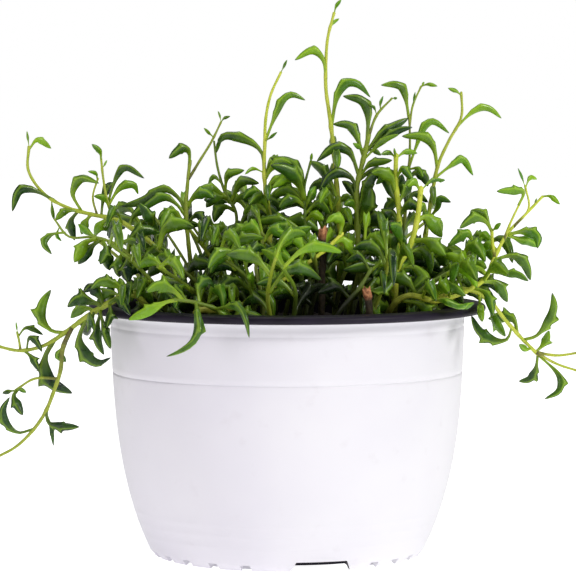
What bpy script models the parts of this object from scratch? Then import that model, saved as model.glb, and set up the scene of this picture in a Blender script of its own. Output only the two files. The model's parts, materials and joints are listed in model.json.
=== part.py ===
"""A potted string of dolphins: a white nursery pot, its potting mix, and the leafy stems that grow in it.

Metres, +Z up. The origin is on the ground, on the pot's axis. -Y is the side that the photograph shows.
The stems that the photograph shows are placed by pixels of its 576-pixel frame, through its camera.
The rest of the bush follows a rule with a fixed seed.
"""

import math
import random

import bmesh
import bpy
from mathutils import Matrix, Vector
from mathutils.bvhtree import BVHTree

MM = 0.001

# The pot, a turned shell
POT_HEIGHT = 105 * MM
LIP_RADIUS = 83 * MM
LIP_THICK = 3.5 * MM
WALL_TOP_RADIUS = 74 * MM
FOOT_RADIUS = 56.5 * MM
WALL = 1.5 * MM
BASE_RISE = 4.5 * MM
POT_STEPS = 30
WALL_SLOPE = 0.16
WALL_BEND = 3.3
OUTER_HEIGHTS = (2, 12, 25, 42, 60)
INNER_HEIGHTS = (58, 14)
FOOT_RING_WIDTHS = (3.4 * MM, 2.2 * MM)
STEP_LINE_HEIGHT = 76.6 * MM
STEP_LINE_DEPTH = 0.5 * MM
BAND_TOP = 95.8 * MM
SHARP_ANGLE = 35
DRAIN_RADIUS = 4 * MM
DRAIN_CIRCLE = 40 * MM
DRAIN_COUNT = 6
DRAIN_SIDES = 8

# The foot ring's notches, by angle from the front towards +X
WIDE_NOTCH_ANGLE = 14
WIDE_NOTCH = (21 * MM, 4.3 * MM)
SMALL_NOTCH = (4 * MM, 2.5 * MM)
SMALL_NOTCH_ANGLES = (24, 36, 48, 60.5, 74.5, 89)
FOOT_THIRDS = 3
WIDE_SLANT = 1.5 * MM
SMALL_SLANT = 0.4 * MM
NOTCH_DEPTH = 9 * MM

# The potting mix
SOIL_TOP = 95 * MM
SOIL_GAP = 0.3 * MM
SOIL_STEPS = POT_STEPS // 2
SOIL_RINGS = (0, 16, 32, 47, 61)
SOIL_DOME = 1.5 * MM
SOIL_DOME_RADIUS = 70 * MM
SOIL_LUMP = 0.55 * MM
ROOT_DEPTH = 10 * MM
HOLE_GAP = 0.4 * MM
HOLE_SIDES = 5

# The photograph's camera
PIXELS_PER_MM = 2.398
AXIS_COLUMN = 287
CENTRE_ROW = 288
CAMERA_DISTANCE = 1250 * MM
CAMERA_HEIGHT = 189 * MM
CENTRE_HEIGHT = 111 * MM

# Leaves: stations from foot to tip, and the pair of fins on the outer side of the bend
STATIONS = (0.0, 0.3, 0.58, 0.85)
FIN_STATION = 0.58
FIN_REACH = 0.26
FIN_RANGE = (0.6, 1.2)
LOW_FINS = 1.3
HIGH_FINS = 0.4
HIGH_LEAF = 60 * MM
FINNED_LENGTH = 11 * MM
LEAF_FOOT = 0.34
LEAF_THICK = 0.62
STALK_END = 0.2
BODY_START = 0.62
TIP_START = 0.74
LEAF_SIDES = 3
LEAF_SHOULDER = 0.75
LEAF_SPACING = 1.5 * MM
STRAIGHT_BEND = 0.04
CLEAR = 0.35 * MM

# How far apart the points of a stem are
SHOWN_SPACING = 11 * MM
SHOOT_SPACING = 9 * MM
BUSH_SPACING = 16 * MM
TRAILING_SPACING = 13 * MM
CUT_STEM_SPACING = 8 * MM
CURVE_STEPS = 12

# How many millimetres a shown stem, or a shown leaf's tip, may move in depth to come clear, nearest first
STEM_DEPTH_CHANGES = (0, -3, 3, -6, 6, -9, 9, -12, 12, -16, 16, -20)
LEAF_LEANS = (5, -5, 10, 0, -10, 15, -15, 20, -20, 25)
HANGING_DEPTH_CHANGES = (0, -1, 1, -2, 2)

# The bush that fills the pot, lengths in millimetres where a range is given
BUSH_STEMS = 31
BUSH_RADIUS = 60 * MM
BUSH_LEAVES = 4
BUSH_WIDTHS = (2.2, 1.2)
BUSH_TURN = 0.25
BUSH_SHIFT = (0.92, 1.05)
BUSH_RISE = (56, 24)
BUSH_RISE_RANGE = (0.75, 1.15)
BUSH_LEAN = (8, 26)
BUSH_LEAN_RANGE = (0.6, 1.3)
BUSH_SWAY = 9
BUSH_SEED = 1000

# The stems that arch over the lip at the back and the sides
TRAILING_ANGLES = (55, 80, 103, 126)
TRAILING_LEAVES = 4
TRAILING_WIDTHS = (2.2, 1.1)
TRAILING_TURN = 6
TRAILING_ROOT = (48, 58)
TRAILING_SWAY = 8
TRAILING_REACH = (90, 92)
TRAILING_DROP = (28, 46)
TRAILING_CREST = (72 * MM, 9 * MM)

# The leaves that the rule draws: where on the stem they start and end, and their size
DRAWN_WIDTHS = (4.5, 6.1)
DRAWN_LENGTHS = (17, 27)
DRAWN_PARTS = (0.38, 0.3, 0.34)
BUSH_FIRST_LEAF = 0.36
TRAILING_FIRST_LEAF = 0.45
LAST_LEAF = 0.985
LEAF_SEED = 7000

# What keeps the drawn pieces clear
DEPTH_REACH = 91.8 * MM
GAP_MARGIN = 2.5
STEM_ATTEMPTS = 120
GAP_ATTEMPTS = 60
LEAF_ATTEMPTS = 24
GOLDEN_ANGLE = math.radians(137.508)

# Gaps where the photograph shows the background through the bush: column, row and size in pixels
OPEN_GAPS = (
    (182, 241, 13), (186, 256, 9), (103, 255, 9), (107, 267, 5), (150, 213, 6), (165, 205, 6), (135, 279, 4),
    (146, 272, 4), (157, 282, 4), (192, 282, 3), (201, 270, 4), (231, 219, 7), (227, 272, 2), (252, 270, 4),
    (236, 276, 3), (201, 204, 9), (298, 210, 3), (348, 207, 4), (360, 216, 4), (357, 233, 4), (375, 197, 8),
    (417, 232, 6), (446, 221, 12), (457, 249, 5), (312, 282, 3), (346, 283, 3), (433, 280, 4), (439, 239, 5),
    (466, 212, 18), (455, 188, 16), (420, 205, 6), (150, 185, 14), (88, 272, 12), (72, 268, 18),
    (70, 285, 12), (120, 263, 5),
)


def stem(name, root, depths, widths, path, leaves=(), shoots=()):
    """A stem that the photograph shows.

    root is its place in the soil in millimetres, depths how far behind the pot's axis its first and last
    pixels are, widths its thickness at foot and tip, and path its pixels. A leaf is its width and its
    pixels from foot to tip, with their depths where it hangs over the lip. A shoot is its widths, its
    pixels and its leaves.
    """
    return {"name": name, "root": root, "depths": depths, "widths": widths, "path": path,
            "leaves": leaves, "shoots": shoots}


SHOWN_STEMS = (
    stem(
        "stem_far_left", (-44, -6), (-12, -14), (2.4, 1.1),
        [(176, 274), (153, 245), (134, 230), (115, 219), (94, 215), (76, 209), (57, 204), (45, 195),
         (35, 181), (26, 166), (24, 156), (29, 146)],
        [
            (1.7, [(29, 147), (27, 131)]),
            (3.0, [(28, 149), (38, 139), (51, 148)]),
            (4.0, [(52, 201), (32, 189), (18, 191), (12, 211)]),
            (2.6, [(50, 199), (52, 210), (54, 220)]),
            (3.4, [(78, 210), (64, 211), (55, 220)]),
            (4.2, [(78, 210), (70, 222), (74, 240)]),
            (4.0, [(82, 211), (72, 193), (81, 178), (99, 183)]),
        ],
        [
            ((1.4, 0.8), [(114, 219), (108, 204), (104, 185), (102, 166), (101, 158)],
             [
                 (2.6, [(101, 160), (100, 151), (92, 144)]),
                 (1.3, [(103, 168), (107, 160)]),
                 (3.2, [(108, 202), (117, 175), (127, 167), (144, 178)]),
                 (3.8, [(109, 204), (120, 187), (133, 184), (138, 194)]),
                 (3.0, [(109, 206), (103, 197), (94, 196)]),
             ]),
            ((1.0, 0.8), [(97, 216), (92, 205), (94, 190), (98, 178)],
             [(1.9, [(98, 180), (96, 173), (88, 171)])]),
        ],
    ),
    stem(
        "stem_left_low", (-46, -24), (-24, -22), (2.2, 0.8),
        [(140, 268), (118, 246), (104, 238), (95, 237), (80, 237), (66, 236), (58, 230), (54, 219)],
        [
            (3.0, [(62, 234), (51, 234), (43, 243), (51, 254)]),
            (1.7, [(57, 229), (56, 235), (61, 241)]),
            (5.4, [(97, 238), (84, 243), (74, 262)]),
            (3.4, [(97, 237), (87, 231), (78, 224)]),
            (5.0, [(104, 238), (106, 250), (100, 264)]),
            (5.0, [(117, 245), (124, 256), (130, 272)]),
        ],
    ),
    stem(
        "stem_left_tall", (-38, 2), (-2, -2), (2.4, 1.4),
        [(187, 230), (186, 205), (187, 190), (188, 175), (190, 160)],
        [
            (4.4, [(190, 163), (189, 151), (181, 148), (169, 158)]),
            (4.8, [(186, 214), (180, 199), (164, 188), (144, 200), (121, 206)]),
            (4.0, [(186, 222), (198, 214), (207, 226)]),
        ],
        [
            ((1.3, 0.8), [(188, 180), (192, 171), (200, 160), (214, 137), (221, 122)],
             [
                 (1.5, [(220, 123), (224, 118), (230, 116)]),
                 (1.3, [(221, 122), (220, 116), (218, 111)]),
                 (1.8, [(214, 137), (204, 128)]),
             ]),
        ],
    ),
    stem(
        "stem_mid_left", (-24, 10), (8, 6), (2.0, 0.9),
        [(236, 216), (229, 200), (223, 187), (217, 165), (214, 152), (214, 141)],
        [
            (3.8, [(225, 190), (228, 174), (244, 170)]),
            (2.4, [(221, 184), (214, 176), (208, 184)]),
            (4.4, [(231, 203), (241, 181), (259, 183)]),
            (5.0, [(226, 197), (211, 188), (197, 190)]),
        ],
    ),
    stem(
        "stem_centre_left", (-9, -4), (-4, 0), (2.6, 1.0),
        [(270, 225), (266, 195), (264, 166), (265, 140), (265, 124), (270, 97), (277, 79), (281, 72)],
        [
            (1.7, [(281, 73), (287, 60)]),
            (3.6, [(266, 142), (273, 120), (282, 100), (292, 94), (305, 100)]),
            (1.6, [(266, 141), (277, 132)]),
            (4.2, [(265, 172), (262, 152), (248, 140), (230, 135), (221, 138), (216, 153)]),
            (1.8, [(264, 174), (253, 168), (245, 174)]),
            (4.4, [(268, 214), (255, 204), (243, 214)]),
        ],
    ),
    stem(
        "stem_centre", (4, -8), (-8, -6), (2.2, 0.9),
        [(306, 240), (305, 212), (304, 192), (307, 175), (311, 160)],
        [
            (2.0, [(310, 163), (312, 153)]),
            (6.0, [(304, 196), (301, 176), (290, 163), (271, 158)]),
            (4.6, [(304, 196), (290, 176), (272, 188)]),
            (4.8, [(305, 214), (318, 202), (330, 214)]),
        ],
    ),
    stem(
        "stem_tallest", (20, 2), (4, 0), (3.0, 1.1),
        [(341, 245), (338, 205), (336, 175), (334, 154), (331, 126), (327, 98), (325, 79), (326, 60),
         (327, 42), (330, 27), (334, 13)],
        [
            (1.8, [(334, 14), (336, 6), (341, 0)]),
            (1.6, [(330, 28), (334, 22), (339, 19)]),
            (3.6, [(325, 77), (323, 59), (312, 50), (295, 60)]),
            (4.2, [(332, 126), (336, 98), (345, 83), (358, 84), (370, 97)]),
            (5.0, [(339, 214), (326, 200), (308, 210)]),
        ],
    ),
    stem(
        "stem_right_mid", (32, 2), (0, -2), (2.8, 1.8),
        [(358, 235), (357, 210), (357, 188), (362, 164), (367, 146), (369, 134)],
        [
            (4.6, [(369, 140), (368, 110), (360, 99), (343, 96)]),
            (4.4, [(363, 158), (355, 131), (347, 124), (333, 124)]),
            (4.6, [(359, 176), (350, 152), (334, 147), (317, 161)]),
            (4.6, [(366, 154), (380, 134), (393, 126), (408, 118)]),
            (3.4, [(365, 160), (382, 141), (399, 134)]),
            (2.4, [(366, 152), (374, 150), (381, 155)]),
            (2.4, [(365, 150), (353, 143)]),
            (4.8, [(357, 197), (353, 179), (341, 172), (329, 176), (320, 190)]),
            (3.8, [(360, 176), (371, 163), (392, 160)]),
        ],
        [
            ((1.3, 0.8), [(368, 138), (375, 119), (380, 108), (387, 101), (392, 98)],
             [
                 (1.3, [(391, 99), (397, 98)]),
                 (1.4, [(379, 111), (380, 103), (383, 96)]),
                 (1.4, [(377, 115), (374, 107), (369, 105)]),
             ]),
        ],
    ),
    stem(
        "stem_bud", (40, -12), (-12, -12), (2.4, 1.8),
        [(400, 230), (398, 205), (396, 185), (396, 170), (396, 154)],
        [
            (2.4, [(396, 157), (389, 152), (381, 154)]),
            (2.8, [(396, 157), (406, 151), (417, 153)]),
            (1.8, [(396, 156), (394, 148)]),
            (4.2, [(397, 188), (390, 172), (376, 184)]),
            (4.0, [(396, 178), (403, 168), (413, 180)]),
        ],
    ),
    stem(
        "stem_right_fine", (44, 12), (12, 8), (1.9, 0.9),
        [(404, 225), (406, 198), (409, 168), (410, 129), (409, 115)],
        [
            (3.8, [(409, 118), (404, 91), (396, 84), (381, 85)]),
            (3.4, [(409, 166), (417, 143), (424, 126), (434, 121), (449, 133)]),
            (2.8, [(408, 170), (418, 168), (423, 177)]),
            (4.2, [(405, 204), (415, 193), (428, 202)]),
        ],
        [
            ((0.9, 0.8), [(410, 128), (413, 103), (417, 92), (421, 86)],
             [
                 (1.5, [(412, 106), (415, 92)]),
                 (1.4, [(420, 87), (424, 82)]),
                 (2.0, [(420, 87), (428, 84), (437, 86)]),
             ]),
        ],
    ),
    stem(
        "stem_right_tall", (52, 2), (2, 2), (2.6, 1.0),
        [(424, 245), (428, 220), (431, 200), (436, 174), (439, 162), (448, 142), (458, 125), (463, 110),
         (464, 99), (461, 92)],
        [
            (2.2, [(462, 94), (456, 91), (448, 88)]),
            (3.2, [(457, 128), (469, 114), (481, 107), (491, 109), (501, 118)]),
            (4.4, [(438, 168), (434, 148), (424, 136), (402, 136)]),
            (3.4, [(436, 178), (451, 165), (463, 159), (473, 175)]),
            (1.6, [(435, 180), (427, 182)]),
            (1.8, [(435, 180), (445, 180)]),
            (4.0, [(430, 218), (437, 208), (440, 198), (451, 202)]),
        ],
    ),
    stem(
        "stem_right_spray", (40, -32), (-42, -20), (2.8, 1.0),
        [(400, 294), (416, 298), (431, 301), (446, 299), (463, 293), (479, 283), (491, 274), (495, 262),
         (496, 248), (503, 238), (514, 228), (525, 215), (535, 202), (543, 196)],
        [
            (2.6, [(542, 197), (551, 196), (560, 204)]),
            (1.3, [(534, 204), (537, 198)]),
            (4.6, [(506, 235), (525, 231), (538, 236), (538, 248)]),
            (4.6, [(496, 260), (512, 255), (525, 262), (531, 280)]),
            (3.6, [(492, 273), (505, 273), (518, 274), (529, 281)]),
            (4.8, [(482, 281), (498, 283), (508, 302)]),
            (4.8, [(474, 287), (488, 294), (494, 316)]),
            (4.2, [(434, 299), (446, 301), (461, 307), (475, 303)], (-41, -54, -60, -54)),
            (5.4, [(428, 300), (450, 286), (466, 296)]),
        ],
        [
            ((1.2, 0.8), [(502, 240), (511, 222), (520, 203)],
             [(3.8, [(519, 206), (524, 192), (512, 190), (497, 191)])]),
            ((1.1, 0.8), [(516, 227), (527, 213), (530, 197), (525, 185)],
             [
                 (1.5, [(525, 187), (522, 177), (518, 168)]),
                 (2.2, [(526, 187), (530, 177), (537, 179)]),
             ]),
            ((1.6, 1.2), [(496, 258), (493, 243), (492, 229)],
             [
                 (4.4, [(492, 231), (486, 221), (474, 217), (460, 228)]),
                 (3.4, [(492, 231), (484, 213), (471, 210)]),
                 (2.6, [(492, 230), (501, 223)]),
             ]),
        ],
    ),
    stem(
        "stem_right_cluster", (56, -14), (-16, -14), (2.2, 1.2),
        [(462, 288), (468, 270), (473, 255), (478, 241)],
        [
            (4.6, [(476, 247), (467, 233), (449, 245)]),
            (5.6, [(470, 266), (456, 250), (437, 258)]),
            (4.0, [(477, 243), (484, 234), (492, 242)]),
            (5.0, [(464, 284), (450, 272), (432, 281)]),
        ],
    ),
    stem(
        "stem_right_trail", (50, -24), (-30, -10), (2.4, 1.3),
        [(455, 288), (473, 291), (486, 297), (496, 308), (505, 319), (514, 330), (527, 343), (539, 355)],
        [
            (4.2, [(512, 327), (508, 340), (495, 341), (480, 332), (472, 316)]),
            (4.8, [(517, 334), (515, 320), (503, 316), (489, 319)]),
            (4.2, [(525, 341), (538, 336), (550, 321), (555, 307), (553, 293)]),
            (3.8, [(536, 352), (546, 343), (550, 331)]),
            (3.2, [(533, 349), (527, 350), (520, 345)]),
            (3.6, [(538, 354), (537, 370), (531, 380), (520, 382)]),
            (3.2, [(538, 354), (560, 375), (561, 391), (546, 400)]),
        ],
        [
            ((1.4, 0.9), [(537, 353), (556, 356), (572, 353), (580, 353)],
             [(2.6, [(577, 353), (582, 348), (586, 356)]), (1.6, [(577, 353), (585, 351)])]),
            ((1.3, 0.9), [(537, 353), (557, 364), (575, 370), (581, 372)],
             [(2.8, [(578, 371), (583, 371), (586, 381)])]),
        ],
    ),
    stem(
        "stem_left_trail", (-50, -34), (-40, -24), (3.0, 1.2),
        [(132, 294), (111, 302), (89, 315), (71, 327), (55, 341), (38, 347), (20, 351), (4, 348), (-6, 346)],
        [
            (2.6, [(-4, 346), (-10, 341), (-15, 348)]),
            (4.6, [(64, 332), (50, 331), (40, 319), (41, 304), (50, 290)]),
            (3.2, [(26, 349), (28, 338), (35, 341), (41, 352)]),
            (5.0, [(86, 317), (78, 338), (84, 355), (96, 364), (110, 358)]),
            (4.0, [(100, 309), (96, 328), (97, 343), (103, 355)]),
            (6.0, [(53, 341), (43, 360), (48, 382), (71, 394)]),
            (3.4, [(22, 351), (31, 358), (38, 371)]),
            (4.6, [(124, 296), (108, 292), (96, 303)]),
            (5.2, [(104, 306), (90, 301), (77, 299), (67, 307)]),
        ],
        [
            ((1.1, 0.8), [(21, 351), (18, 341), (16, 332)],
             [(1.3, [(16, 334), (15, 322)]), (2.4, [(17, 337), (24, 328), (32, 329), (42, 335)])]),
            ((2.0, 1.1), [(70, 328), (63, 342), (61, 363), (57, 380), (51, 396), (41, 419), (30, 433),
                          (13, 449), (0, 457), (-6, 459)],
             [
                 (2.6, [(-4, 459), (-10, 461), (-14, 469)]),
                 (4.0, [(63, 346), (57, 355), (65, 362)]),
                 (3.8, [(45, 410), (47, 424), (60, 428), (78, 428)]),
                 (2.6, [(45, 412), (50, 430), (52, 447)]),
                 (3.6, [(33, 430), (16, 434), (4, 424), (1, 411), (8, 398)]),
             ]),
            ((1.2, 0.9), [(57, 380), (44, 378), (30, 380), (20, 384), (14, 391)],
             [(4.4, [(15, 389), (12, 398), (21, 416)]), (2.2, [(15, 390), (7, 392), (1, 394)]),
              (2.2, [(14, 391), (19, 390), (25, 393)])]),
        ],
    ),
    stem(
        "stem_front_yellow", (-36, -44), (-52, -44), (2.8, 1.3),
        [(196, 312), (211, 312), (239, 307), (259, 296), (278, 283), (303, 266), (329, 247), (343, 233)],
        [
            (4.6, [(342, 235), (342, 221), (334, 217), (326, 223)]),
            (3.4, [(325, 250), (342, 239), (350, 247), (359, 260)]),
            (4.6, [(286, 278), (296, 263), (317, 276)]),
            (3.6, [(243, 306), (262, 300), (278, 291), (289, 291), (294, 302), (293, 317)]),
            (4.4, [(236, 308), (238, 293), (229, 288), (207, 304)]),
        ],
    ),
    stem(
        "stem_front_drape", (-26, -58), (-66, -70), (2.2, 1.2),
        [(216, 306), (205, 303), (194, 304), (184, 302), (174, 299)],
        [
            (4.9, [(195, 303), (197, 312), (198, 325), (196, 336), (190, 345), (179, 352), (166, 357)],
             (-70, -86, -87, -87, -87, -87, -87)),
            (4.6, [(178, 300), (165, 302), (147, 311), (128, 320)]),
            (3.8, [(214, 306), (236, 306), (245, 318), (249, 338)], (-66, -82, -87, -87)),
            (4.0, [(186, 302), (178, 291), (165, 292)]),
        ],
    ),
    stem(
        "stem_front_right", (44, -24), (-28, -22), (2.7, 2.1),
        [(396, 280), (400, 262), (410, 246), (414, 232), (417, 219), (422, 200), (421, 187)],
        [
            (3.8, [(421, 190), (414, 181), (407, 186)]),
            (2.0, [(421, 190), (432, 180), (445, 180)]),
            (5.0, [(399, 265), (393, 243), (400, 235), (407, 244)]),
            (4.4, [(405, 256), (420, 248), (430, 257), (431, 274)]),
            (6.0, [(412, 240), (430, 241), (446, 256)]),
            (6.4, [(416, 222), (424, 216), (433, 222), (442, 237)]),
            (4.8, [(398, 272), (412, 266), (423, 277), (408, 293)]),
            (5.0, [(397, 276), (372, 266), (343, 270)]),
        ],
    ),
    stem(
        "stem_front_low", (18, -50), (-54, -50), (2.2, 1.4),
        [(344, 305), (356, 292), (367, 280), (372, 268)],
        [
            (4.4, [(371, 271), (384, 262), (397, 270)]),
            (4.4, [(360, 288), (374, 291), (388, 288), (394, 276)]),
            (4.8, [(351, 298), (336, 286), (318, 293)]),
            (4.2, [(372, 270), (360, 256), (346, 262)]),
        ],
    ),
    stem(
        "stem_front_mid", (-10, -44), (-46, -42), (2.2, 1.3),
        [(262, 290), (256, 270), (258, 252), (264, 238)],
        [
            (4.6, [(263, 241), (273, 229), (288, 238)]),
            (4.8, [(257, 258), (240, 250), (226, 262)]),
            (5.0, [(258, 252), (276, 249), (292, 262)]),
            (4.2, [(264, 240), (254, 226), (240, 230)]),
        ],
    ),
)

# Dried cut ends of old stems: place in the soil, pixel of the end, depth behind the pot's axis
CUT_STEMS = (
    ("cut_stem_middle", (14, -30), (323, 228), -32),
    ("cut_stem_right", (42, -2), (395, 224), -4),
    ("cut_stem_front", (34, -52), (367, 288), -58),
)
CUT_STEM_WIDTH = 3.2
CUT_STEM_KNEE = 0.4

COLOURS = {
    "pot": ((0.86, 0.85, 0.87), 0.42),
    "soil": ((0.018, 0.014, 0.011), 0.95),
    "leaf": ((0.075, 0.19, 0.035), 0.4),
    "cut": ((0.33, 0.15, 0.06), 0.85),
}


def seen(column, row, depth):
    """The point at a pixel of the photograph, depth millimetres behind the pot's axis."""
    grow = (CAMERA_DISTANCE + depth * MM) / CAMERA_DISTANCE
    across = (column - AXIS_COLUMN) / PIXELS_PER_MM * MM
    below = CAMERA_HEIGHT - CENTRE_HEIGHT + (row - CENTRE_ROW) / PIXELS_PER_MM * MM
    return Vector((across * grow, depth * MM, CAMERA_HEIGHT - below * grow))


def wall_radius(height):
    """The outer radius of the wall: steep at the top, and rounding in towards the foot."""
    full = WALL_TOP_RADIUS - FOOT_RADIUS
    down = 1 - max(0.0, min(1.0, height / (POT_HEIGHT - LIP_THICK)))
    return WALL_TOP_RADIUS - full * (WALL_SLOPE * down + (1 - WALL_SLOPE) * down ** WALL_BEND)


def soil_height(x, y):
    """The potting mix's top: a low dome with lumps."""
    dome = SOIL_DOME * (1 - (x * x + y * y) / SOIL_DOME_RADIUS ** 2)
    lumps = math.sin(x * 210 + 1.3) * math.cos(y * 190 - 0.6) + math.sin(y * 330 + x * 120)
    return SOIL_TOP + dome + SOIL_LUMP * lumps


def in_pot(point, margin):
    """Whether a point lies in the pot or the soil, or within a margin of them."""
    radius = math.hypot(point.x, point.y)
    if point.z > POT_HEIGHT + margin:
        return False
    edge = LIP_RADIUS if point.z > POT_HEIGHT - LIP_THICK - margin else wall_radius(point.z)
    if radius > edge + margin:
        return False
    inside = wall_radius(POT_HEIGHT) - WALL - margin
    return radius > inside or point.z < soil_height(point.x, point.y) + margin


def smooth_path(points, spacing):
    """Points at an even spacing on a smooth curve through the given points."""
    ends = [points[0] * 2 - points[1], *points, points[-1] * 2 - points[-2]]
    fine = []
    for before, start, stop, after in zip(ends, ends[1:], ends[2:], ends[3:]):
        for step in range(CURVE_STEPS):
            t = step / CURVE_STEPS
            fine.append(0.5 * (2 * start + (stop - before) * t
                               + (2 * before - 5 * start + 4 * stop - after) * t ** 2
                               + (3 * start - before - 3 * stop + after) * t ** 3))
    fine.append(points[-1].copy())
    return resample(fine, spacing)


def resample(fine, spacing):
    length = sum((b - a).length for a, b in zip(fine, fine[1:]))
    count = max(2, round(length / spacing))
    return [point_along(fine, step / count) for step in range(count + 1)]


def point_along(path, share):
    """The point at a share of a path's length."""
    lengths = [(b - a).length for a, b in zip(path, path[1:])]
    left = share * sum(lengths)
    for start, stop, length in zip(path, path[1:], lengths):
        if left <= length:
            return start.lerp(stop, left / length) if length else start.copy()
        left -= length
    return path[-1].copy()


def path_length(path):
    return sum((b - a).length for a, b in zip(path, path[1:]))


def stem_path(root, points, spacing):
    """From the bottom of the stem's hole, straight up out of the soil, then on through the points."""
    x, y = root[0] * MM, root[1] * MM
    top = soil_height(x, y)
    bottom = Vector((x, y, top - ROOT_DEPTH))
    return [bottom, *smooth_path([Vector((x, y, top + 2 * MM)), *points], spacing)]


def photo_points(pixels, depths):
    """The pixels as points, with the depth going evenly from the first to the last."""
    runs = [0.0]
    for (x0, y0), (x1, y1) in zip(pixels, pixels[1:]):
        runs.append(runs[-1] + math.hypot(x1 - x0, y1 - y0))
    whole = runs[-1] or 1.0
    return [seen(x, y, depths[0] + (depths[1] - depths[0]) * run / whole)
            for (x, y), run in zip(pixels, runs)]


def tube_radii(path, widths):
    """The radius at each point of a path that tapers from its foot to its tip."""
    last = len(path) - 1
    return [(widths[0] + (widths[1] - widths[0]) * step / last) * MM / 2 for step in range(last + 1)]


def tubes_touch(path, radii, others):
    """Whether a tube comes near one of the others."""
    samples = [(start.lerp(stop, step / 4), radius)
               for start, stop, radius in zip(path, path[1:], radii) for step in range(5)]
    for other_path, other_radii in others:
        reach = max(radii) + max(other_radii) + 2 * CLEAR
        for point, radius in samples:
            for start, stop, other in zip(other_path, other_path[1:], other_radii):
                if (start - point).length > reach + (stop - start).length:
                    continue
                along = (point - start).dot(stop - start) / max((stop - start).length_squared, 1e-12)
                gap = (start.lerp(stop, max(0.0, min(1.0, along))) - point).length
                if gap < radius + other + 2 * CLEAR:
                    return True
    return False


def tube_hits_pot(path, radii):
    """Whether a tube above its hole runs into the pot or the soil."""
    above = [p for p in zip(path, radii) if p[0].z > soil_height(p[0].x, p[0].y) + 3 * MM
             or math.hypot(p[0].x, p[0].y) > WALL_TOP_RADIUS - 4 * MM]
    for (start, radius), (stop, _) in zip(above, above[1:]):
        if any(in_pot(start.lerp(stop, step / 6), radius + CLEAR) for step in range(7)):
            return True
    return False


def belly(share):
    """A leaf's half width along its length, as a share of the widest: a stalk, a body and a blunt end."""
    rise = min(1.0, max(0.0, (share - STALK_END) / (BODY_START - STALK_END)))
    swell = LEAF_FOOT + (1 - LEAF_FOOT) * rise * rise * (3 - 2 * rise)
    fall = max(0.0, (share - TIP_START) / (1 - TIP_START))
    return swell * math.sqrt(1 - fall * fall)


def fin_reach(path):
    """How far a leaf's fins stand out, as a share of its width: most on a low leaf, none on a short one."""
    if path_length(path) < FINNED_LENGTH:
        return 0.0
    vary = (path[-1].x * 700 + path[-1].z * 900) % 1
    rise = min(1.0, abs(path[0].z - SOIL_TOP) / HIGH_LEAF)
    size = LOW_FINS + (HIGH_FINS - LOW_FINS) * rise
    return FIN_REACH * size * (FIN_RANGE[0] + (FIN_RANGE[1] - FIN_RANGE[0]) * vary)


def bend_normal(path):
    """The direction in which a leaf's bend bulges, or upwards for a straight leaf."""
    middle = point_along(path, 0.5) - (path[0] + path[-1]) / 2
    chord = (path[-1] - path[0]).normalized()
    across = middle - chord * middle.dot(chord)
    if across.length > STRAIGHT_BEND * path_length(path):
        return across.normalized()
    up = Vector((0.0, 0.15, 1.0))
    return (up - chord * up.dot(chord)).normalized()


def leaf_mesh(path, width, grow=0.0):
    """Points and faces of a three-sided leaf with a pair of fins, closed at its foot and its tip."""
    outward = bend_normal(path)
    points = []
    for share in STATIONS:
        centre = point_along(path, share)
        ahead = point_along(path, min(1.0, share + 0.04))
        behind = point_along(path, max(0.0, share - 0.04))
        along = (ahead - behind).normalized()
        normal = (outward - along * outward.dot(along)).normalized()
        across = along.cross(normal)
        half = width * MM / 2 * belly(share) + grow
        push = width * MM * fin_reach(path) if share == FIN_STATION else 0.0
        for side in (-1, 0, 1):
            if side == 0:
                points.append(centre - normal * half)
                continue
            shoulder = centre + normal * half * LEAF_SHOULDER + across * side * half * LEAF_THICK
            points.append(shoulder + normal * push + across * side * push * 0.3 + along * push * 0.6)
    points.append(path[-1] + (path[-1] - path[-2]).normalized() * grow)
    faces = [(2, 1, 0)]
    for ring in range(len(STATIONS) - 1):
        for side in range(LEAF_SIDES):
            first = ring * LEAF_SIDES + side
            second = ring * LEAF_SIDES + (side + 1) % LEAF_SIDES
            faces.append((first, second, second + LEAF_SIDES, first + LEAF_SIDES))
    last = (len(STATIONS) - 1) * LEAF_SIDES
    for side in range(LEAF_SIDES):
        faces.append((last + side, last + (side + 1) % LEAF_SIDES, len(points) - 1))
    return points, faces


def box_of(points):
    return [(min(p[i] for p in points), max(p[i] for p in points)) for i in range(3)]


def boxes_meet(one, other):
    return all(a[0] <= b[1] and b[0] <= a[1] for a, b in zip(one, other))


def solid_shape(points, faces):
    """What a clearance test needs of a closed shape: its box and its search tree."""
    return box_of(points), BVHTree.FromPolygons(points, faces)


def tube_shape(path, radii):
    """A four-sided stand-in for a tube, for clearance tests."""
    points = []
    for index, (centre, radius) in enumerate(zip(path, radii)):
        ahead = path[min(index + 1, len(path) - 1)] - path[max(index - 1, 0)]
        side = ahead.orthogonal().normalized() * radius * 1.15
        lift = ahead.normalized().cross(side)
        points += [centre + side, centre + lift, centre - side, centre - lift]
    faces = []
    for ring in range(len(path) - 1):
        for corner in range(4):
            first, second = ring * 4 + corner, ring * 4 + (corner + 1) % 4
            faces.append((first, second, second + 4, first + 4))
    return solid_shape(points, faces)


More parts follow.
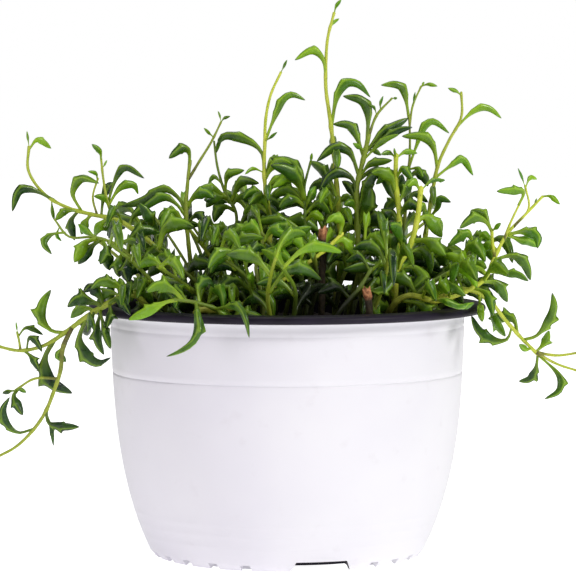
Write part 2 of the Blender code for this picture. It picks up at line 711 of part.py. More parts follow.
def leaf_is_clear(path, width, own_name, shapes):
    """Whether a leaf misses the pot, the soil and every piece of the other stems."""
    points, faces = leaf_mesh(path, width, CLEAR)
    middles = [(points[a] + points[b]) / 2 for face in faces for a, b in zip(face, face[1:])]
    if any(in_pot(point, CLEAR) or abs(point.y) > DEPTH_REACH for point in points + middles):
        return False
    box, tree = solid_shape(points, faces)
    outer = None
    for name, kind, other_box, other_tree in shapes:
        if not boxes_meet(box, other_box):
            continue
        if name != own_name:
            if tree.overlap(other_tree):
                return False
        elif kind == "leaf":
            if outer is None:
                skip = 2 * LEAF_SIDES
                high = [tuple(i - skip for i in face) for face in faces if min(face) >= skip]
                outer = BVHTree.FromPolygons(points[skip:], high)
            if outer.overlap(other_tree):
                return False
    return True


def foot_on(paths, pixel):
    """The point of some paths that looks nearest to a pixel of the photograph."""
    start = seen(*pixel, 0)
    fine = [a.lerp(b, step / 8) for path in paths for a, b in zip(path, path[1:]) for step in range(1, 9)]
    return min(fine, key=lambda point: math.hypot(*project_gap(point, start)))


def shown_leaf_paths(stem_points, order, pixels, depths=None):
    """A shown leaf's possible paths: its pixels at several depths, nearest choice first."""
    foot = foot_on([stem_points], pixels[0])
    depth = foot.y / MM
    for change in HANGING_DEPTH_CHANGES if depths else ():
        points = [seen(*pixel, depth + change) for pixel, depth in zip(pixels[1:], depths[1:])]
        yield smooth_path([foot, *points], LEAF_SPACING)
    way = 1 if order % 2 else -1
    for lean in LEAF_LEANS:
        points = [foot]
        for index, pixel in enumerate(pixels[1:], 1):
            points.append(seen(*pixel, depth + way * lean * index / (len(pixels) - 1)))
        yield smooth_path(points, LEAF_SPACING)


def project_gap(point, other):
    """How far apart two points look in the photograph, across and up, on the axis plane."""
    shares = [CAMERA_DISTANCE / (CAMERA_DISTANCE + p.y) for p in (point, other)]
    across = point.x * shares[0] - other.x * shares[1]
    rise = (CAMERA_HEIGHT - point.z) * shares[0] - (CAMERA_HEIGHT - other.z) * shares[1]
    return across, rise


def shown_tubes(given, change):
    """A shown stem and its shoots as tubes with their leaves, all moved in depth by the change."""
    depths = [depth + change for depth in given["depths"]]
    main = stem_path(given["root"], photo_points(given["path"], depths), SHOWN_SPACING)
    tubes = [(main, tube_radii(main, given["widths"]), given["leaves"])]
    for widths, pixels, leaves in given["shoots"]:
        foot = foot_on([tube[0] for tube in tubes], pixels[0])
        depth = foot.y / MM
        path = smooth_path([foot, *photo_points(pixels[1:], (depth, depth))], SHOOT_SPACING)
        tubes.append((path, tube_radii(path, widths), leaves))
    return tubes


def settle_shown_stems():
    """Paths for the shown stems, each moved in depth until it misses the pot and the stems before it."""
    settled = []
    taken = []
    for given in SHOWN_STEMS:
        for change in STEM_DEPTH_CHANGES:
            tubes = shown_tubes(given, change)
            if not any(tubes_touch(path, radii, taken) or tube_hits_pot(path, radii)
                       for path, radii, _ in tubes):
                break
        taken += [(path, radii) for path, radii, _ in tubes]
        settled.append({"name": given["name"], "material": "leaf", "tubes": tubes, "leaves": []})
    return settled, taken


def settle_cut_stems(settled, taken):
    """Paths for the dried ends of old stems, whose places are given."""
    for name, root, pixel, depth in CUT_STEMS:
        end = seen(*pixel, depth)
        knee = end.lerp(Vector((root[0] * MM, root[1] * MM, SOIL_TOP)), CUT_STEM_KNEE)
        path = stem_path(root, [knee, end], CUT_STEM_SPACING)
        radii = tube_radii(path, (CUT_STEM_WIDTH, CUT_STEM_WIDTH))
        taken.append((path, radii))
        settled.append({"name": name, "material": "cut", "tubes": [(path, radii, [])], "leaves": []})


def bush_path(number, draw):
    """A stem of the bush: it rises from its place in a sunflower pattern and leans outwards."""
    angle = number * GOLDEN_ANGLE + draw.uniform(-BUSH_TURN, BUSH_TURN)
    radius = BUSH_RADIUS * math.sqrt((number + 0.6) / BUSH_STEMS) * draw.uniform(*BUSH_SHIFT)
    outward = Vector((math.cos(angle), math.sin(angle), 0.0))
    sideways = Vector((-outward.y, outward.x, 0.0))
    edge = radius / BUSH_RADIUS
    rise = (BUSH_RISE[0] - BUSH_RISE[1] * edge) * draw.uniform(*BUSH_RISE_RANGE) * MM
    lean = (BUSH_LEAN[0] + BUSH_LEAN[1] * edge) * draw.uniform(*BUSH_LEAN_RANGE) * MM
    sway = draw.uniform(-BUSH_SWAY, BUSH_SWAY) * MM
    root = outward * radius
    base = Vector((root.x, root.y, SOIL_TOP))
    middle = base + Vector((0, 0, rise * 0.55)) + outward * lean * 0.3 - sideways * sway * 0.3
    tip = base + Vector((0, 0, rise)) + outward * lean + sideways * sway
    return stem_path((root.x / MM, root.y / MM), [middle, tip], BUSH_SPACING)


def trailing_path(angle, draw):
    """A stem of the back or a side that arches over the lip and hangs beside the wall."""
    turn = math.radians(angle + draw.uniform(-TRAILING_TURN, TRAILING_TURN))
    outward = Vector((math.cos(turn), math.sin(turn), 0.0))
    sideways = Vector((-outward.y, outward.x, 0.0))
    root = outward * draw.uniform(*TRAILING_ROOT) * MM
    sway = draw.uniform(-TRAILING_SWAY, TRAILING_SWAY) * MM
    reach = draw.uniform(*TRAILING_REACH) * MM
    drop = draw.uniform(*TRAILING_DROP) * MM
    points = [
        outward * TRAILING_CREST[0] + Vector((0, 0, POT_HEIGHT + TRAILING_CREST[1])),
        outward * reach + sideways * sway * 0.5 + Vector((0, 0, POT_HEIGHT)),
        outward * (reach - 1 * MM) + sideways * sway + Vector((0, 0, POT_HEIGHT - drop)),
    ]
    return stem_path((root.x / MM, root.y / MM), points, TRAILING_SPACING)


def settle_bush_stems(settled, taken):
    """The stems that the rule adds, each drawn again until it misses the pot and the stems before it."""
    makers = [(f"stem_trailing_{n + 1}", trailing_path, angle, TRAILING_WIDTHS, TRAILING_LEAVES)
              for n, angle in enumerate(TRAILING_ANGLES)]
    makers += [(f"stem_bush_{n + 1:02d}", bush_path, n, BUSH_WIDTHS, BUSH_LEAVES)
               for n in range(BUSH_STEMS)]
    for seed, (name, maker, key, widths, count) in enumerate(makers):
        for attempt in range(STEM_ATTEMPTS):
            path = maker(key, random.Random(BUSH_SEED * seed + attempt))
            radii = tube_radii(path, widths)
            outside = max(abs(point.y) for point in path) > DEPTH_REACH - widths[0] * MM
            if outside or (attempt < GAP_ATTEMPTS and covers_gap(path)):
                continue
            if not tubes_touch(path, radii, taken) and not tube_hits_pot(path, radii):
                taken.append((path, radii))
                settled.append({"name": name, "material": "leaf", "tubes": [(path, radii, [])],
                                "leaves": [], "drawn": count, "seed": seed})
                break


def drawn_leaf_path(path, share, turn, draw):
    """A leaf of the bush: it leaves its stem upwards and bends over, or hooks up from a hanging stem."""
    foot = point_along(path, share)
    along = (point_along(path, min(1.0, share + 0.05)) - point_along(path, share - 0.05)).normalized()
    side = along.orthogonal().normalized()
    side.rotate(Matrix.Rotation(turn, 3, along))
    length = draw.uniform(*DRAWN_LENGTHS) * MM
    up = Vector((0.0, 0.0, 1.0))
    if along.z < -0.3:
        start = (side + up * draw.uniform(-0.6, 0.3)).normalized()
        finish = (side * draw.uniform(0.2, 0.9) + up * draw.uniform(-0.3, 1.2)).normalized()
    else:
        start = (side * draw.uniform(0.6, 1.0) + up * draw.uniform(0.5, 1.0)).normalized()
        finish = (side - up * draw.uniform(0.1, 1.0)).normalized()
    first = foot + start * length * DRAWN_PARTS[0]
    second = first + (start + finish).normalized() * length * DRAWN_PARTS[1]
    return smooth_path([foot, first, second, second + finish * length * DRAWN_PARTS[2]], LEAF_SPACING)


def settle_leaves(settled):
    """Every leaf's path and width, shown leaves first, each kept only where it misses all the others."""
    shapes = []
    for plant in settled:
        for path, radii, _ in plant["tubes"]:
            shapes.append((plant["name"], "tube", *tube_shape(path, radii)))
    for plant in settled:
        for path, _, leaves in plant["tubes"]:
            for order, (width, *way) in enumerate(leaves):
                for leaf in shown_leaf_paths(path, order, *way):
                    if leaf_is_clear(leaf, width, plant["name"], shapes):
                        keep_leaf(plant, leaf, width, shapes)
                        break
    for plant in settled:
        if "drawn" in plant:
            settle_drawn_leaves(plant, shapes)


def settle_drawn_leaves(plant, shapes):
    path = plant["tubes"][0][0]
    draw = random.Random(LEAF_SEED + plant["seed"])
    first = TRAILING_FIRST_LEAF if "trailing" in plant["name"] else BUSH_FIRST_LEAF
    for number in range(plant["drawn"]):
        share = first + (LAST_LEAF - first) * number / (plant["drawn"] - 1)
        for attempt in range(LEAF_ATTEMPTS):
            turn = number * GOLDEN_ANGLE + attempt * 0.7 + draw.uniform(-0.3, 0.3)
            leaf = drawn_leaf_path(path, share, turn, draw)
            width = draw.uniform(*DRAWN_WIDTHS)
            if covers_gap(leaf) or not leaf_is_clear(leaf, width, plant["name"], shapes):
                continue
            keep_leaf(plant, leaf, width, shapes)
            break


def covers_gap(path):
    """Whether a leaf looks, in the photograph, as if it covers one of the gaps in the bush."""
    for point in path:
        share = CAMERA_DISTANCE / (CAMERA_DISTANCE + point.y)
        column = AXIS_COLUMN + point.x * share / MM * PIXELS_PER_MM
        below = (CAMERA_HEIGHT - point.z) * share - (CAMERA_HEIGHT - CENTRE_HEIGHT)
        row = CENTRE_ROW + below / MM * PIXELS_PER_MM
        if any(math.hypot(column - x, row - y) < size + GAP_MARGIN for x, y, size in OPEN_GAPS):
            return True
    return False


def keep_leaf(plant, path, width, shapes):
    plant["leaves"].append((path, width))
    shapes.append((plant["name"], "leaf", *solid_shape(*leaf_mesh(path, width))))


def clear_scene():
    for obj in list(bpy.data.objects):
        bpy.data.objects.remove(obj, do_unlink=True)


def make_collection(name, hidden=False):
    collection = bpy.data.collections.new(name)
    bpy.context.scene.collection.children.link(collection)
    collection.hide_render = hidden
    return collection


def make_material(name):
    colour, roughness = COLOURS[name]
    material = bpy.data.materials.new(name)
    material.use_nodes = True
    shader = material.node_tree.nodes["Principled BSDF"]
    shader.inputs["Base Color"].default_value = (*colour, 1)
    shader.inputs["Roughness"].default_value = roughness
    shader.inputs["Metallic"].default_value = 0
    return material


def add_object(name, mesh, collection, material=None):
    obj = bpy.data.objects.new(name, mesh)
    collection.objects.link(obj)
    if material:
        mesh.materials.clear()
        mesh.materials.append(material)
    return obj


def baked(obj):
    """The object's mesh with its modifiers applied."""
    graph = bpy.context.evaluated_depsgraph_get()
    return bpy.data.meshes.new_from_object(obj.evaluated_get(graph))


def bake_modifiers(obj):
    mesh = baked(obj)
    obj.modifiers.clear()
    obj.data = mesh


def turned(name, profile, steps, collection, material):
    """A profile of (radius, height) points, turned round the Z axis."""
    mesh = bpy.data.meshes.new(name)
    mesh.from_pydata([(r, 0, z) for r, z in profile], [(i, i + 1) for i in range(len(profile) - 1)], [])
    obj = add_object(name, mesh, collection, material)
    screw = obj.modifiers.new("turn", "SCREW")
    screw.steps = steps
    screw.render_steps = steps
    screw.use_merge_vertices = True
    screw.merge_threshold = 0.0001
    return obj


def subtract(obj, cutters):
    cut = obj.modifiers.new("cut", "BOOLEAN")
    cut.operation = "DIFFERENCE"
    cut.operand_type = "COLLECTION"
    cut.collection = cutters
    bake_modifiers(obj)


def pot_profile():
    """The pot's half section, from the middle of its floor's underside out, up, over the lip and back in."""
    under_lip = POT_HEIGHT - LIP_THICK
    profile = [
        (0, BASE_RISE),
        (FOOT_RADIUS - FOOT_RING_WIDTHS[0], BASE_RISE),
        (FOOT_RADIUS - FOOT_RING_WIDTHS[1], 0),
        (FOOT_RADIUS, 0),
    ]
    profile += [(wall_radius(h * MM), h * MM) for h in OUTER_HEIGHTS]
    profile += [
        (wall_radius(STEP_LINE_HEIGHT) - STEP_LINE_DEPTH, STEP_LINE_HEIGHT - 0.6 * MM),
        (wall_radius(STEP_LINE_HEIGHT), STEP_LINE_HEIGHT),
        (WALL_TOP_RADIUS - 0.2 * MM, BAND_TOP),
        (WALL_TOP_RADIUS + 0.6 * MM, under_lip - 1.2 * MM),
        (WALL_TOP_RADIUS + 2.6 * MM, under_lip),
        (LIP_RADIUS - 0.8 * MM, under_lip),
        (LIP_RADIUS, under_lip + 1.2 * MM),
        (LIP_RADIUS - 2.4 * MM, POT_HEIGHT),
        (WALL_TOP_RADIUS, POT_HEIGHT - 0.4 * MM),
        (WALL_TOP_RADIUS - WALL, POT_HEIGHT - 2.4 * MM),
    ]
    profile += [(wall_radius(h * MM) - WALL, h * MM) for h in INNER_HEIGHTS]
    profile += [(FOOT_RADIUS - 2.5 * MM, BASE_RISE + WALL), (0, BASE_RISE + WALL)]
    return profile[::-1]


def add_notch(cutters, angle, size, slant):
    """A cutter through the foot ring, wider below by the slant."""
    width, height = size
    mesh = bpy.data.meshes.new("notch")
    shape = bmesh.new()
    bmesh.ops.create_cube(shape, size=1)
    for corner in shape.verts:
        half = width / 2 + (slant if corner.co.z < 0 else 0)
        corner.co.x *= 2 * half
        corner.co.y = -FOOT_RADIUS + corner.co.y * NOTCH_DEPTH
        corner.co.z = height if corner.co.z > 0 else -2 * MM
    shape.to_mesh(mesh)
    shape.free()
    notch = add_object("notch", mesh, cutters)
    notch.rotation_euler.z = math.radians(angle)
    notch.display_type = "WIRE"
    notch.hide_render = True


def add_pin_cutter(cutters, x, y, radius, low, high, sides):
    mesh = bpy.data.meshes.new("pin")
    shape = bmesh.new()
    bmesh.ops.create_cone(shape, cap_ends=True, segments=sides, radius1=radius, radius2=radius,
                          depth=high - low)
    shape.to_mesh(mesh)
    shape.free()
    pin = add_object("pin", mesh, cutters)
    pin.location = (x, y, (low + high) / 2)
    pin.display_type = "WIRE"
    pin.hide_render = True


def clear_collection(collection):
    for obj in list(collection.objects):
        bpy.data.objects.remove(obj, do_unlink=True)


def build_pot(parts, cutters, material):
    pot = turned("pot", pot_profile(), POT_STEPS, parts, material)
    for third in range(FOOT_THIRDS):
        start = WIDE_NOTCH_ANGLE + third * 360 / FOOT_THIRDS
        add_notch(cutters, start, WIDE_NOTCH, WIDE_SLANT)
        for offset in SMALL_NOTCH_ANGLES:
            add_notch(cutters, start + offset, SMALL_NOTCH, SMALL_SLANT)
    for number in range(DRAIN_COUNT):
        angle = 2 * math.pi * (number + 0.5) / DRAIN_COUNT
        add_pin_cutter(cutters, DRAIN_CIRCLE * math.cos(angle), DRAIN_CIRCLE * math.sin(angle),
                       DRAIN_RADIUS, 0, 2 * BASE_RISE, DRAIN_SIDES)
    bpy.context.view_layer.update()
    subtract(pot, cutters)
    clear_collection(cutters)
    pot.data.shade_smooth()
    pot.data.set_sharp_from_angle(angle=math.radians(SHARP_ANGLE))
    return pot


def soil_profile():
    """The soil's half section: its top rings, then down inside the pot's wall to the floor."""
    rings = [(r * MM, SOIL_TOP) for r in SOIL_RINGS]
    heights = (SOIL_TOP - 1 * MM, *(h * MM for h in INNER_HEIGHTS))
    sides = [(wall_radius(h) - WALL - SOIL_GAP, h) for h in heights]
    floor = BASE_RISE + WALL + SOIL_GAP
    return rings + sides + [(FOOT_RADIUS - 5 * MM, floor), (0, floor)]


def build_soil(parts, cutters, material, settled):
    soil = turned("soil", soil_profile(), SOIL_STEPS, parts, material)
    bake_modifiers(soil)
    for vertex in soil.data.vertices:
        if vertex.co.z > SOIL_TOP - 2 * MM:
            vertex.co.z = soil_height(vertex.co.x, vertex.co.y)
    for plant in settled:
        path, radii, _ = plant["tubes"][0]
        foot = path[0]
        add_pin_cutter(cutters, foot.x, foot.y, radii[0] + HOLE_GAP, foot.z - SOIL_GAP,
                       foot.z + ROOT_DEPTH + 8 * MM, HOLE_SIDES)
    bpy.context.view_layer.update()
    subtract(soil, cutters)
    clear_collection(cutters)
    return soil


def tube_object(name, path, radii, collection):
    """A tapering tube as a mesh, made from a curve with a bevel."""
    curve = bpy.data.curves.new(name, "CURVE")
    curve.dimensions = "3D"
    curve.bevel_depth = 1
    curve.bevel_resolution = 0
    curve.use_fill_caps = True
    spline = curve.splines.new("POLY")
    spline.points.add(len(path) - 1)
    for point, place, radius in zip(spline.points, path, radii):
        point.co = (*place, 1)
        point.radius = radius
    guide = add_object(name, curve, collection)
    bpy.context.view_layer.update()
    mesh = baked(guide)
    bpy.data.objects.remove(guide, do_unlink=True)
    weld(mesh)
    return add_object(name, mesh, collection)


def weld(mesh):
    shape = bmesh.new()
    shape.from_mesh(mesh)
    bmesh.ops.remove_doubles(shape, verts=shape.verts, dist=1e-6)
    bmesh.ops.recalc_face_normals(shape, faces=shape.faces)
    shape.to_mesh(mesh)
    shape.free()


def drop_scraps(mesh):
    """Keeps the mesh's largest body."""
    shape = bmesh.new()
    shape.from_mesh(mesh)
    left = set(shape.verts)
    bodies = []
    while left:
        body, edge = set(), [left.pop()]
        while edge:
            corner = edge.pop()
            body.add(corner)
            near = {line.other_vert(corner) for line in corner.link_edges} & left
            left -= near
            edge += near
        bodies.append(body)
    bodies.sort(key=len)
    for body in bodies[:-1]:
        bmesh.ops.delete(shape, geom=list(body), context="VERTS")
    shape.to_mesh(mesh)
    shape.free()


def leaf_object(path, width, collection):
    points, faces = leaf_mesh(path, width)
    mesh = bpy.data.meshes.new("leaf")
    mesh.from_pydata(points, [], faces)
    weld(mesh)
    return add_object("leaf", mesh, collection)


def build_plant(plant, parts, cutters, material):
    """One stem with its shoots and leaves, joined into one body."""
    path, radii, _ = plant["tubes"][0]
    main = tube_object(plant["name"], path, radii, parts)
    for number, (path, radii, _) in enumerate(plant["tubes"][1:]):
        tube_object(f"shoot_{number}", path, radii, cutters)
    for path, width in plant["leaves"]:
        leaf_object(path, width, cutters)
    if cutters.objects:
        join = main.modifiers.new("join", "BOOLEAN")
        join.operation = "UNION"
        join.solver = "MANIFOLD"
        join.operand_type = "COLLECTION"
        join.collection = cutters
        bpy.context.view_layer.update()
        bake_modifiers(main)
        clear_collection(cutters)
        drop_scraps(main.data)
    main.data.materials.clear()
    main.data.materials.append(material)
    return main


def main():
    clear_scene()
    parts = make_collection("potted_string_of_dolphins")
    cutters = make_collection("cutters", hidden=True)
    materials = {name: make_material(name) for name in COLOURS}
    settled, taken = settle_shown_stems()
    settle_cut_stems(settled, taken)
    settle_bush_stems(settled, taken)
    settle_leaves(settled)
    build_pot(parts, cutters, materials["pot"])
    build_soil(parts, cutters, materials["soil"], settled)
    for plant in settled:
        build_plant(plant, parts, cutters, materials[plant["material"]])


main()
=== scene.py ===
import json
import math
import random

import bmesh
import bpy
from mathutils import Matrix, Vector, noise
from mathutils.bvhtree import BVHTree

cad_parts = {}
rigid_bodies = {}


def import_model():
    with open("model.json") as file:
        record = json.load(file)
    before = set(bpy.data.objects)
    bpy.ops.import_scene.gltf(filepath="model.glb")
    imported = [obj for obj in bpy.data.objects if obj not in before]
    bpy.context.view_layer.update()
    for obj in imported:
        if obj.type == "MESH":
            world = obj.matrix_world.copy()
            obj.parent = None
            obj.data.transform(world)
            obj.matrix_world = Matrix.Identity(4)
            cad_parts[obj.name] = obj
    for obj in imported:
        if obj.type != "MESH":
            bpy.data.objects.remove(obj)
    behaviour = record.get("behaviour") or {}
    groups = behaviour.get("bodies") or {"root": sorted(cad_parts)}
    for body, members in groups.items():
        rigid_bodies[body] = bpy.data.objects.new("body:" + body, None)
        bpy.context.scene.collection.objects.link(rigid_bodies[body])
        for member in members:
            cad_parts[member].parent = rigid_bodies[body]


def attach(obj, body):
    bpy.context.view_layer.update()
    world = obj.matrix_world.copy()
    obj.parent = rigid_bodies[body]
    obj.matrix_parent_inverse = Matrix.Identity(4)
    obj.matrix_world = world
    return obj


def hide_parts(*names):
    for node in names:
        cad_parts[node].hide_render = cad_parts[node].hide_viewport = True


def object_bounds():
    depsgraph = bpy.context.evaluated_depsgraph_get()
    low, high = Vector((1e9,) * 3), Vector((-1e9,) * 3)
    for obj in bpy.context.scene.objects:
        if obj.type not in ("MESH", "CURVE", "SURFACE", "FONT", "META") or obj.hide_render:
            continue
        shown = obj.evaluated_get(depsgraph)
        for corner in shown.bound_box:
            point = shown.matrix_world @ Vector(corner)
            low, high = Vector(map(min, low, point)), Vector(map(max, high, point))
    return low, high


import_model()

MM = 0.001

# The pot, a turned shell
POT_HEIGHT = 105 * MM
LIP_RADIUS = 83 * MM
LIP_THICK = 3.5 * MM
WALL_TOP_RADIUS = 74 * MM
FOOT_RADIUS = 56.5 * MM
WALL = 1.5 * MM
BASE_RISE = 4.5 * MM
WALL_SLOPE = 0.16
WALL_BEND = 3.3
DRAIN_RADIUS = 4 * MM
DRAIN_CIRCLE = 40 * MM
DRAIN_COUNT = 6
DRAIN_SIDES = 24

# The pot's sections, by height in millimetres, and the steps round it
POT_STEPS = 180
OUTSIDE_HEIGHTS = (2, 3.5, 5, 7, 9, 9.5, 9.9, 10.4, 12, 13.8, 14.3, 14.7, 15.2, 17, 18.5, 19, 19.4, 19.9, 22,
                   25, 29, 34, 40, 46, 52, 58, 64, 70, 74, 75.6, 76.1, 76.5, 76.9, 77.4, 79, 84, 89, 94,
                   95.2, 95.7, 96.1, 96.6, 98, 99.4)
INSIDE_HEIGHTS = (98, 94, 86, 77, 58, 28, 14)
SHARP_ANGLE = math.radians(40)
INNER_DEPTH = 1.05 * MM

# Low relief of the wall: three rings, the step and the seam, by height, rise and width in millimetres
POT_RELIEF = ((9.7, 0.1, 0.45), (14.5, 0.1, 0.45), (19.2, 0.1, 0.45), (76.6, -0.4, 0.35), (95.9, -0.25, 0.35))
RIB_START = 96.3 * MM
RIB_RISE = 0.16 * MM
RIB_COUNT = 52
RIB_POWER = 8
WALL_WAVE = 0.25 * MM
WALL_WAVE_TURN = 30
WALL_WAVE_FULL = 30 * MM

# The foot ring's notches, by angle from the front towards +X: width and height, and how they widen below
WIDE_NOTCH_ANGLE = 14
WIDE_NOTCH = (21 * MM, 4.3 * MM)
SMALL_NOTCH = (4 * MM, 2.5 * MM)
SMALL_NOTCH_ANGLES = (24, 36, 48, 60.5, 74.5, 89)
FOOT_THIRDS = 3
WIDE_SLANT = 3 * MM
SMALL_SLANT = 0.4 * MM
NOTCH_DEPTH = 9 * MM

# The bead under the floor, and how many degrees from a wide notch it is lifted and the floor is dark
BEAD_RADIUS = 51 * MM
BEAD_EDGE = 52 * MM
BEAD_LOW = 0.15 * MM
BEAD_AT_NOTCH = 2.0 * MM
BEAD_LIFTED = 17
BEAD_FADE = 3
DARK_FLOOR = 16

# The potting mix, and the bark chips on it with their sizes in millimetres
SOIL_TOP = 95 * MM
SOIL_GAP = 0.3 * MM
SOIL_DOME = 1.5 * MM
SOIL_DOME_RADIUS = 70 * MM
SOIL_LUMP = 0.55 * MM
SOIL_ROUGH = 0.9 * MM
SOIL_GRAIN = 160
SOIL_FRACTAL = (0.8, 2.1, 4)
SOIL_SINK = 0.2 * MM
SOIL_MIDDLE = 0.3 * MM
SOIL_RINGS = 44
SOIL_STEPS = 120
SOIL_SIDE_HEIGHTS = (78, 58, 28, 14)
ROOT_DEPTH = 10 * MM
CHIP_COUNT = 260
CHIP_EDGE = 4 * MM
CHIP_LIFT = 0.1 * MM
CHIP_SIZES = ((1.2, 3.4), (0.8, 1.8), (0.5, 1.0))
CHIP_CORNERS = ((-1, -1, -1), (1, -0.7, -1), (0.8, 1, -1), (-0.9, 0.8, -1),
                (-0.8, -0.7, 1), (0.7, -0.8, 0.8), (0.9, 0.7, 1), (-0.6, 0.9, 0.7))
CHIP_FACES = ((3, 2, 1, 0), (4, 5, 6, 7), (0, 1, 5, 4), (1, 2, 6, 5), (2, 3, 7, 6), (3, 0, 4, 7))
CHIP_SEED = 77

# The photograph's camera
PIXELS_PER_MM = 2.398
AXIS_COLUMN = 287
CENTRE_ROW = 288
CAMERA_DISTANCE = 1250 * MM
CAMERA_HEIGHT = 189 * MM
CENTRE_HEIGHT = 111 * MM
CAMERA_AIM = 0.4 * MM
LENS = 187.2
SENSOR = 36
NEAR_CLIP = 0.05

# The stage: three soft lamps with their place, size, power and colour, the one on the right the strongest
LAMPS = (
    ("key", (1.12, -0.94, 0.8), 0.5, 11.2, (1, 0.995, 0.97)),
    ("top", (-0.1, 0.2, 1.5), 0.7, 5.5, (1, 1, 0.97)),
    ("fill", (-0.9, -1.0, 0.6), 0.9, 3.8, (0.98, 0.88, 1)),
)
LAMP_AIM = (0, 0, 0.13)
FLOOR_REACH = 6.0
AMBIENT = 0.27
FLOOR_GLOW = 0.42
FLOOR_SHOWN = 0.96

# Leaves: stations from foot to tip, and the pair of fins on the outer side of the bend
STATIONS = (0.0, 0.3, 0.58, 0.85)
FIN_STATION = 0.58
FIN_REACH = 0.26
FIN_RANGE = (0.6, 1.2)
LOW_FINS = 1.3
HIGH_FINS = 0.4
HIGH_LEAF = 60 * MM
FINNED_LENGTH = 11 * MM
LEAF_FOOT = 0.34
LEAF_THICK = 0.62
STALK_END = 0.2
BODY_START = 0.62
TIP_START = 0.74
LEAF_SIDES = 3
LEAF_SHOULDER = 0.75
LEAF_SPACING = 1.5 * MM
SECTION_REACH = 0.04
STRAIGHT_BEND = 0.04
CLEAR = 0.35 * MM

# How far apart the points of a stem are
SHOWN_SPACING = 11 * MM
SHOOT_SPACING = 9 * MM
BUSH_SPACING = 16 * MM
TRAILING_SPACING = 13 * MM
CUT_STEM_SPACING = 8 * MM
CURVE_STEPS = 12

# How many millimetres a shown stem, or a shown leaf's tip, may move in depth to come clear, nearest first
STEM_DEPTH_CHANGES = (0, -3, 3, -6, 6, -9, 9, -12, 12, -16, 16, -20)
LEAF_LEANS = (5, -5, 10, 0, -10, 15, -15, 20, -20, 25)
HANGING_DEPTH_CHANGES = (0, -1, 1, -2, 2)

# The bush that fills the pot, lengths in millimetres where a range is given
BUSH_STEMS = 31
BUSH_RADIUS = 60 * MM
BUSH_LEAVES = 4
BUSH_WIDTHS = (2.2, 1.2)
BUSH_TURN = 0.25
BUSH_SHIFT = (0.92, 1.05)
BUSH_RISE = (56, 24)
BUSH_RISE_RANGE = (0.75, 1.15)
BUSH_LEAN = (8, 26)
BUSH_LEAN_RANGE = (0.6, 1.3)
BUSH_SWAY = 9
BUSH_SEED = 1000

# The stems that arch over the lip at the back and the sides
TRAILING_ANGLES = (55, 80, 103, 126)
TRAILING_LEAVES = 4
TRAILING_WIDTHS = (2.2, 1.1)
TRAILING_TURN = 6
TRAILING_ROOT = (48, 58)
TRAILING_SWAY = 8
TRAILING_REACH = (90, 92)
TRAILING_DROP = (28, 46)
TRAILING_CREST = (72 * MM, 9 * MM)

# The leaves that the rule draws: where on the stem they start and end, and their size
DRAWN_WIDTHS = (4.5, 6.1)
DRAWN_LENGTHS = (17, 27)
DRAWN_PARTS = (0.38, 0.3, 0.34)
BUSH_FIRST_LEAF = 0.36
TRAILING_FIRST_LEAF = 0.45
LAST_LEAF = 0.985
LEAF_SEED = 7000

# What keeps the drawn pieces clear
DEPTH_REACH = 91.8 * MM
GAP_MARGIN = 2.5
STEM_ATTEMPTS = 120
GAP_ATTEMPTS = 60
LEAF_ATTEMPTS = 24
LEAF_TURN = 0.7
LEAF_JITTER = 0.3
GOLDEN_ANGLE = math.radians(137.508)

# Gaps where the photograph shows the background through the bush: column, row and size in pixels
OPEN_GAPS = (
    (182, 241, 13), (186, 256, 9), (103, 255, 9), (107, 267, 5), (150, 213, 6), (165, 205, 6), (135, 279, 4),
    (146, 272, 4), (157, 282, 4), (192, 282, 3), (201, 270, 4), (231, 219, 7), (227, 272, 2), (252, 270, 4),
    (236, 276, 3), (201, 204, 9), (298, 210, 3), (348, 207, 4), (360, 216, 4), (357, 233, 4), (375, 197, 8),
    (417, 232, 6), (446, 221, 12), (457, 249, 5), (312, 282, 3), (346, 283, 3), (433, 280, 4), (439, 239, 5),
    (466, 212, 18), (455, 188, 16), (420, 205, 6), (150, 185, 14), (88, 272, 12), (72, 268, 18),
    (70, 285, 12), (120, 263, 5),
)


# Fine leaves: stations from foot to tip, points round a section, and how the section is shaped
FINE_STATIONS = (0.0, 0.07, 0.15, 0.23, 0.31, 0.37, 0.42, 0.46, 0.5, 0.53, 0.56, 0.58, 0.6, 0.63, 0.67,
                 0.72, 0.78, 0.84, 0.89, 0.93, 0.96, 0.985)
LEAF_ROUND = 12
FINE_THICK = 0.56
FINE_RISE = 0.875
FINE_SINK = 0.125
KEEL = 0.4
TAPER_START = 0.5
TAPER_END = 0.5
TAPER_POWER = 1.5
LEAF_TWIST = 0.25
LEAF_LUMP = 0.03
LEAF_WAVES = 17
TIP_LENGTH = 0.2 * MM
RIDGE_ANGLE = math.radians(60)
RIDGE_SPREAD = math.radians(15)
RIDGE_RISE = 0.09
GROOVE_DEPTH = 0.2
GROOVE_SPREAD = 0.4

# The fins of a fine leaf: the pair of the CAD leaf, and on some leaves a second and a lower pair,
# each by its place, how often it grows and how far it reaches as a share of the first
FIN_ANGLE = math.radians(36)
FIN_SPREAD = math.radians(22)
FIN_HALF = 0.1
FIN_FALL = 0.7
FIN_POWER = 1.3
FIN_GROW = 1.25
FIN_SPLAY = 0.35
FIN_SWEEP = 0.65
SECOND_FIN_LENGTH = 16 * MM
MORE_FINS = (
    (0.42, 0.6, (0.35, 0.75), FIN_ANGLE),
    (0.63, 0.4, (0.3, 0.6), math.pi - FIN_ANGLE),
)

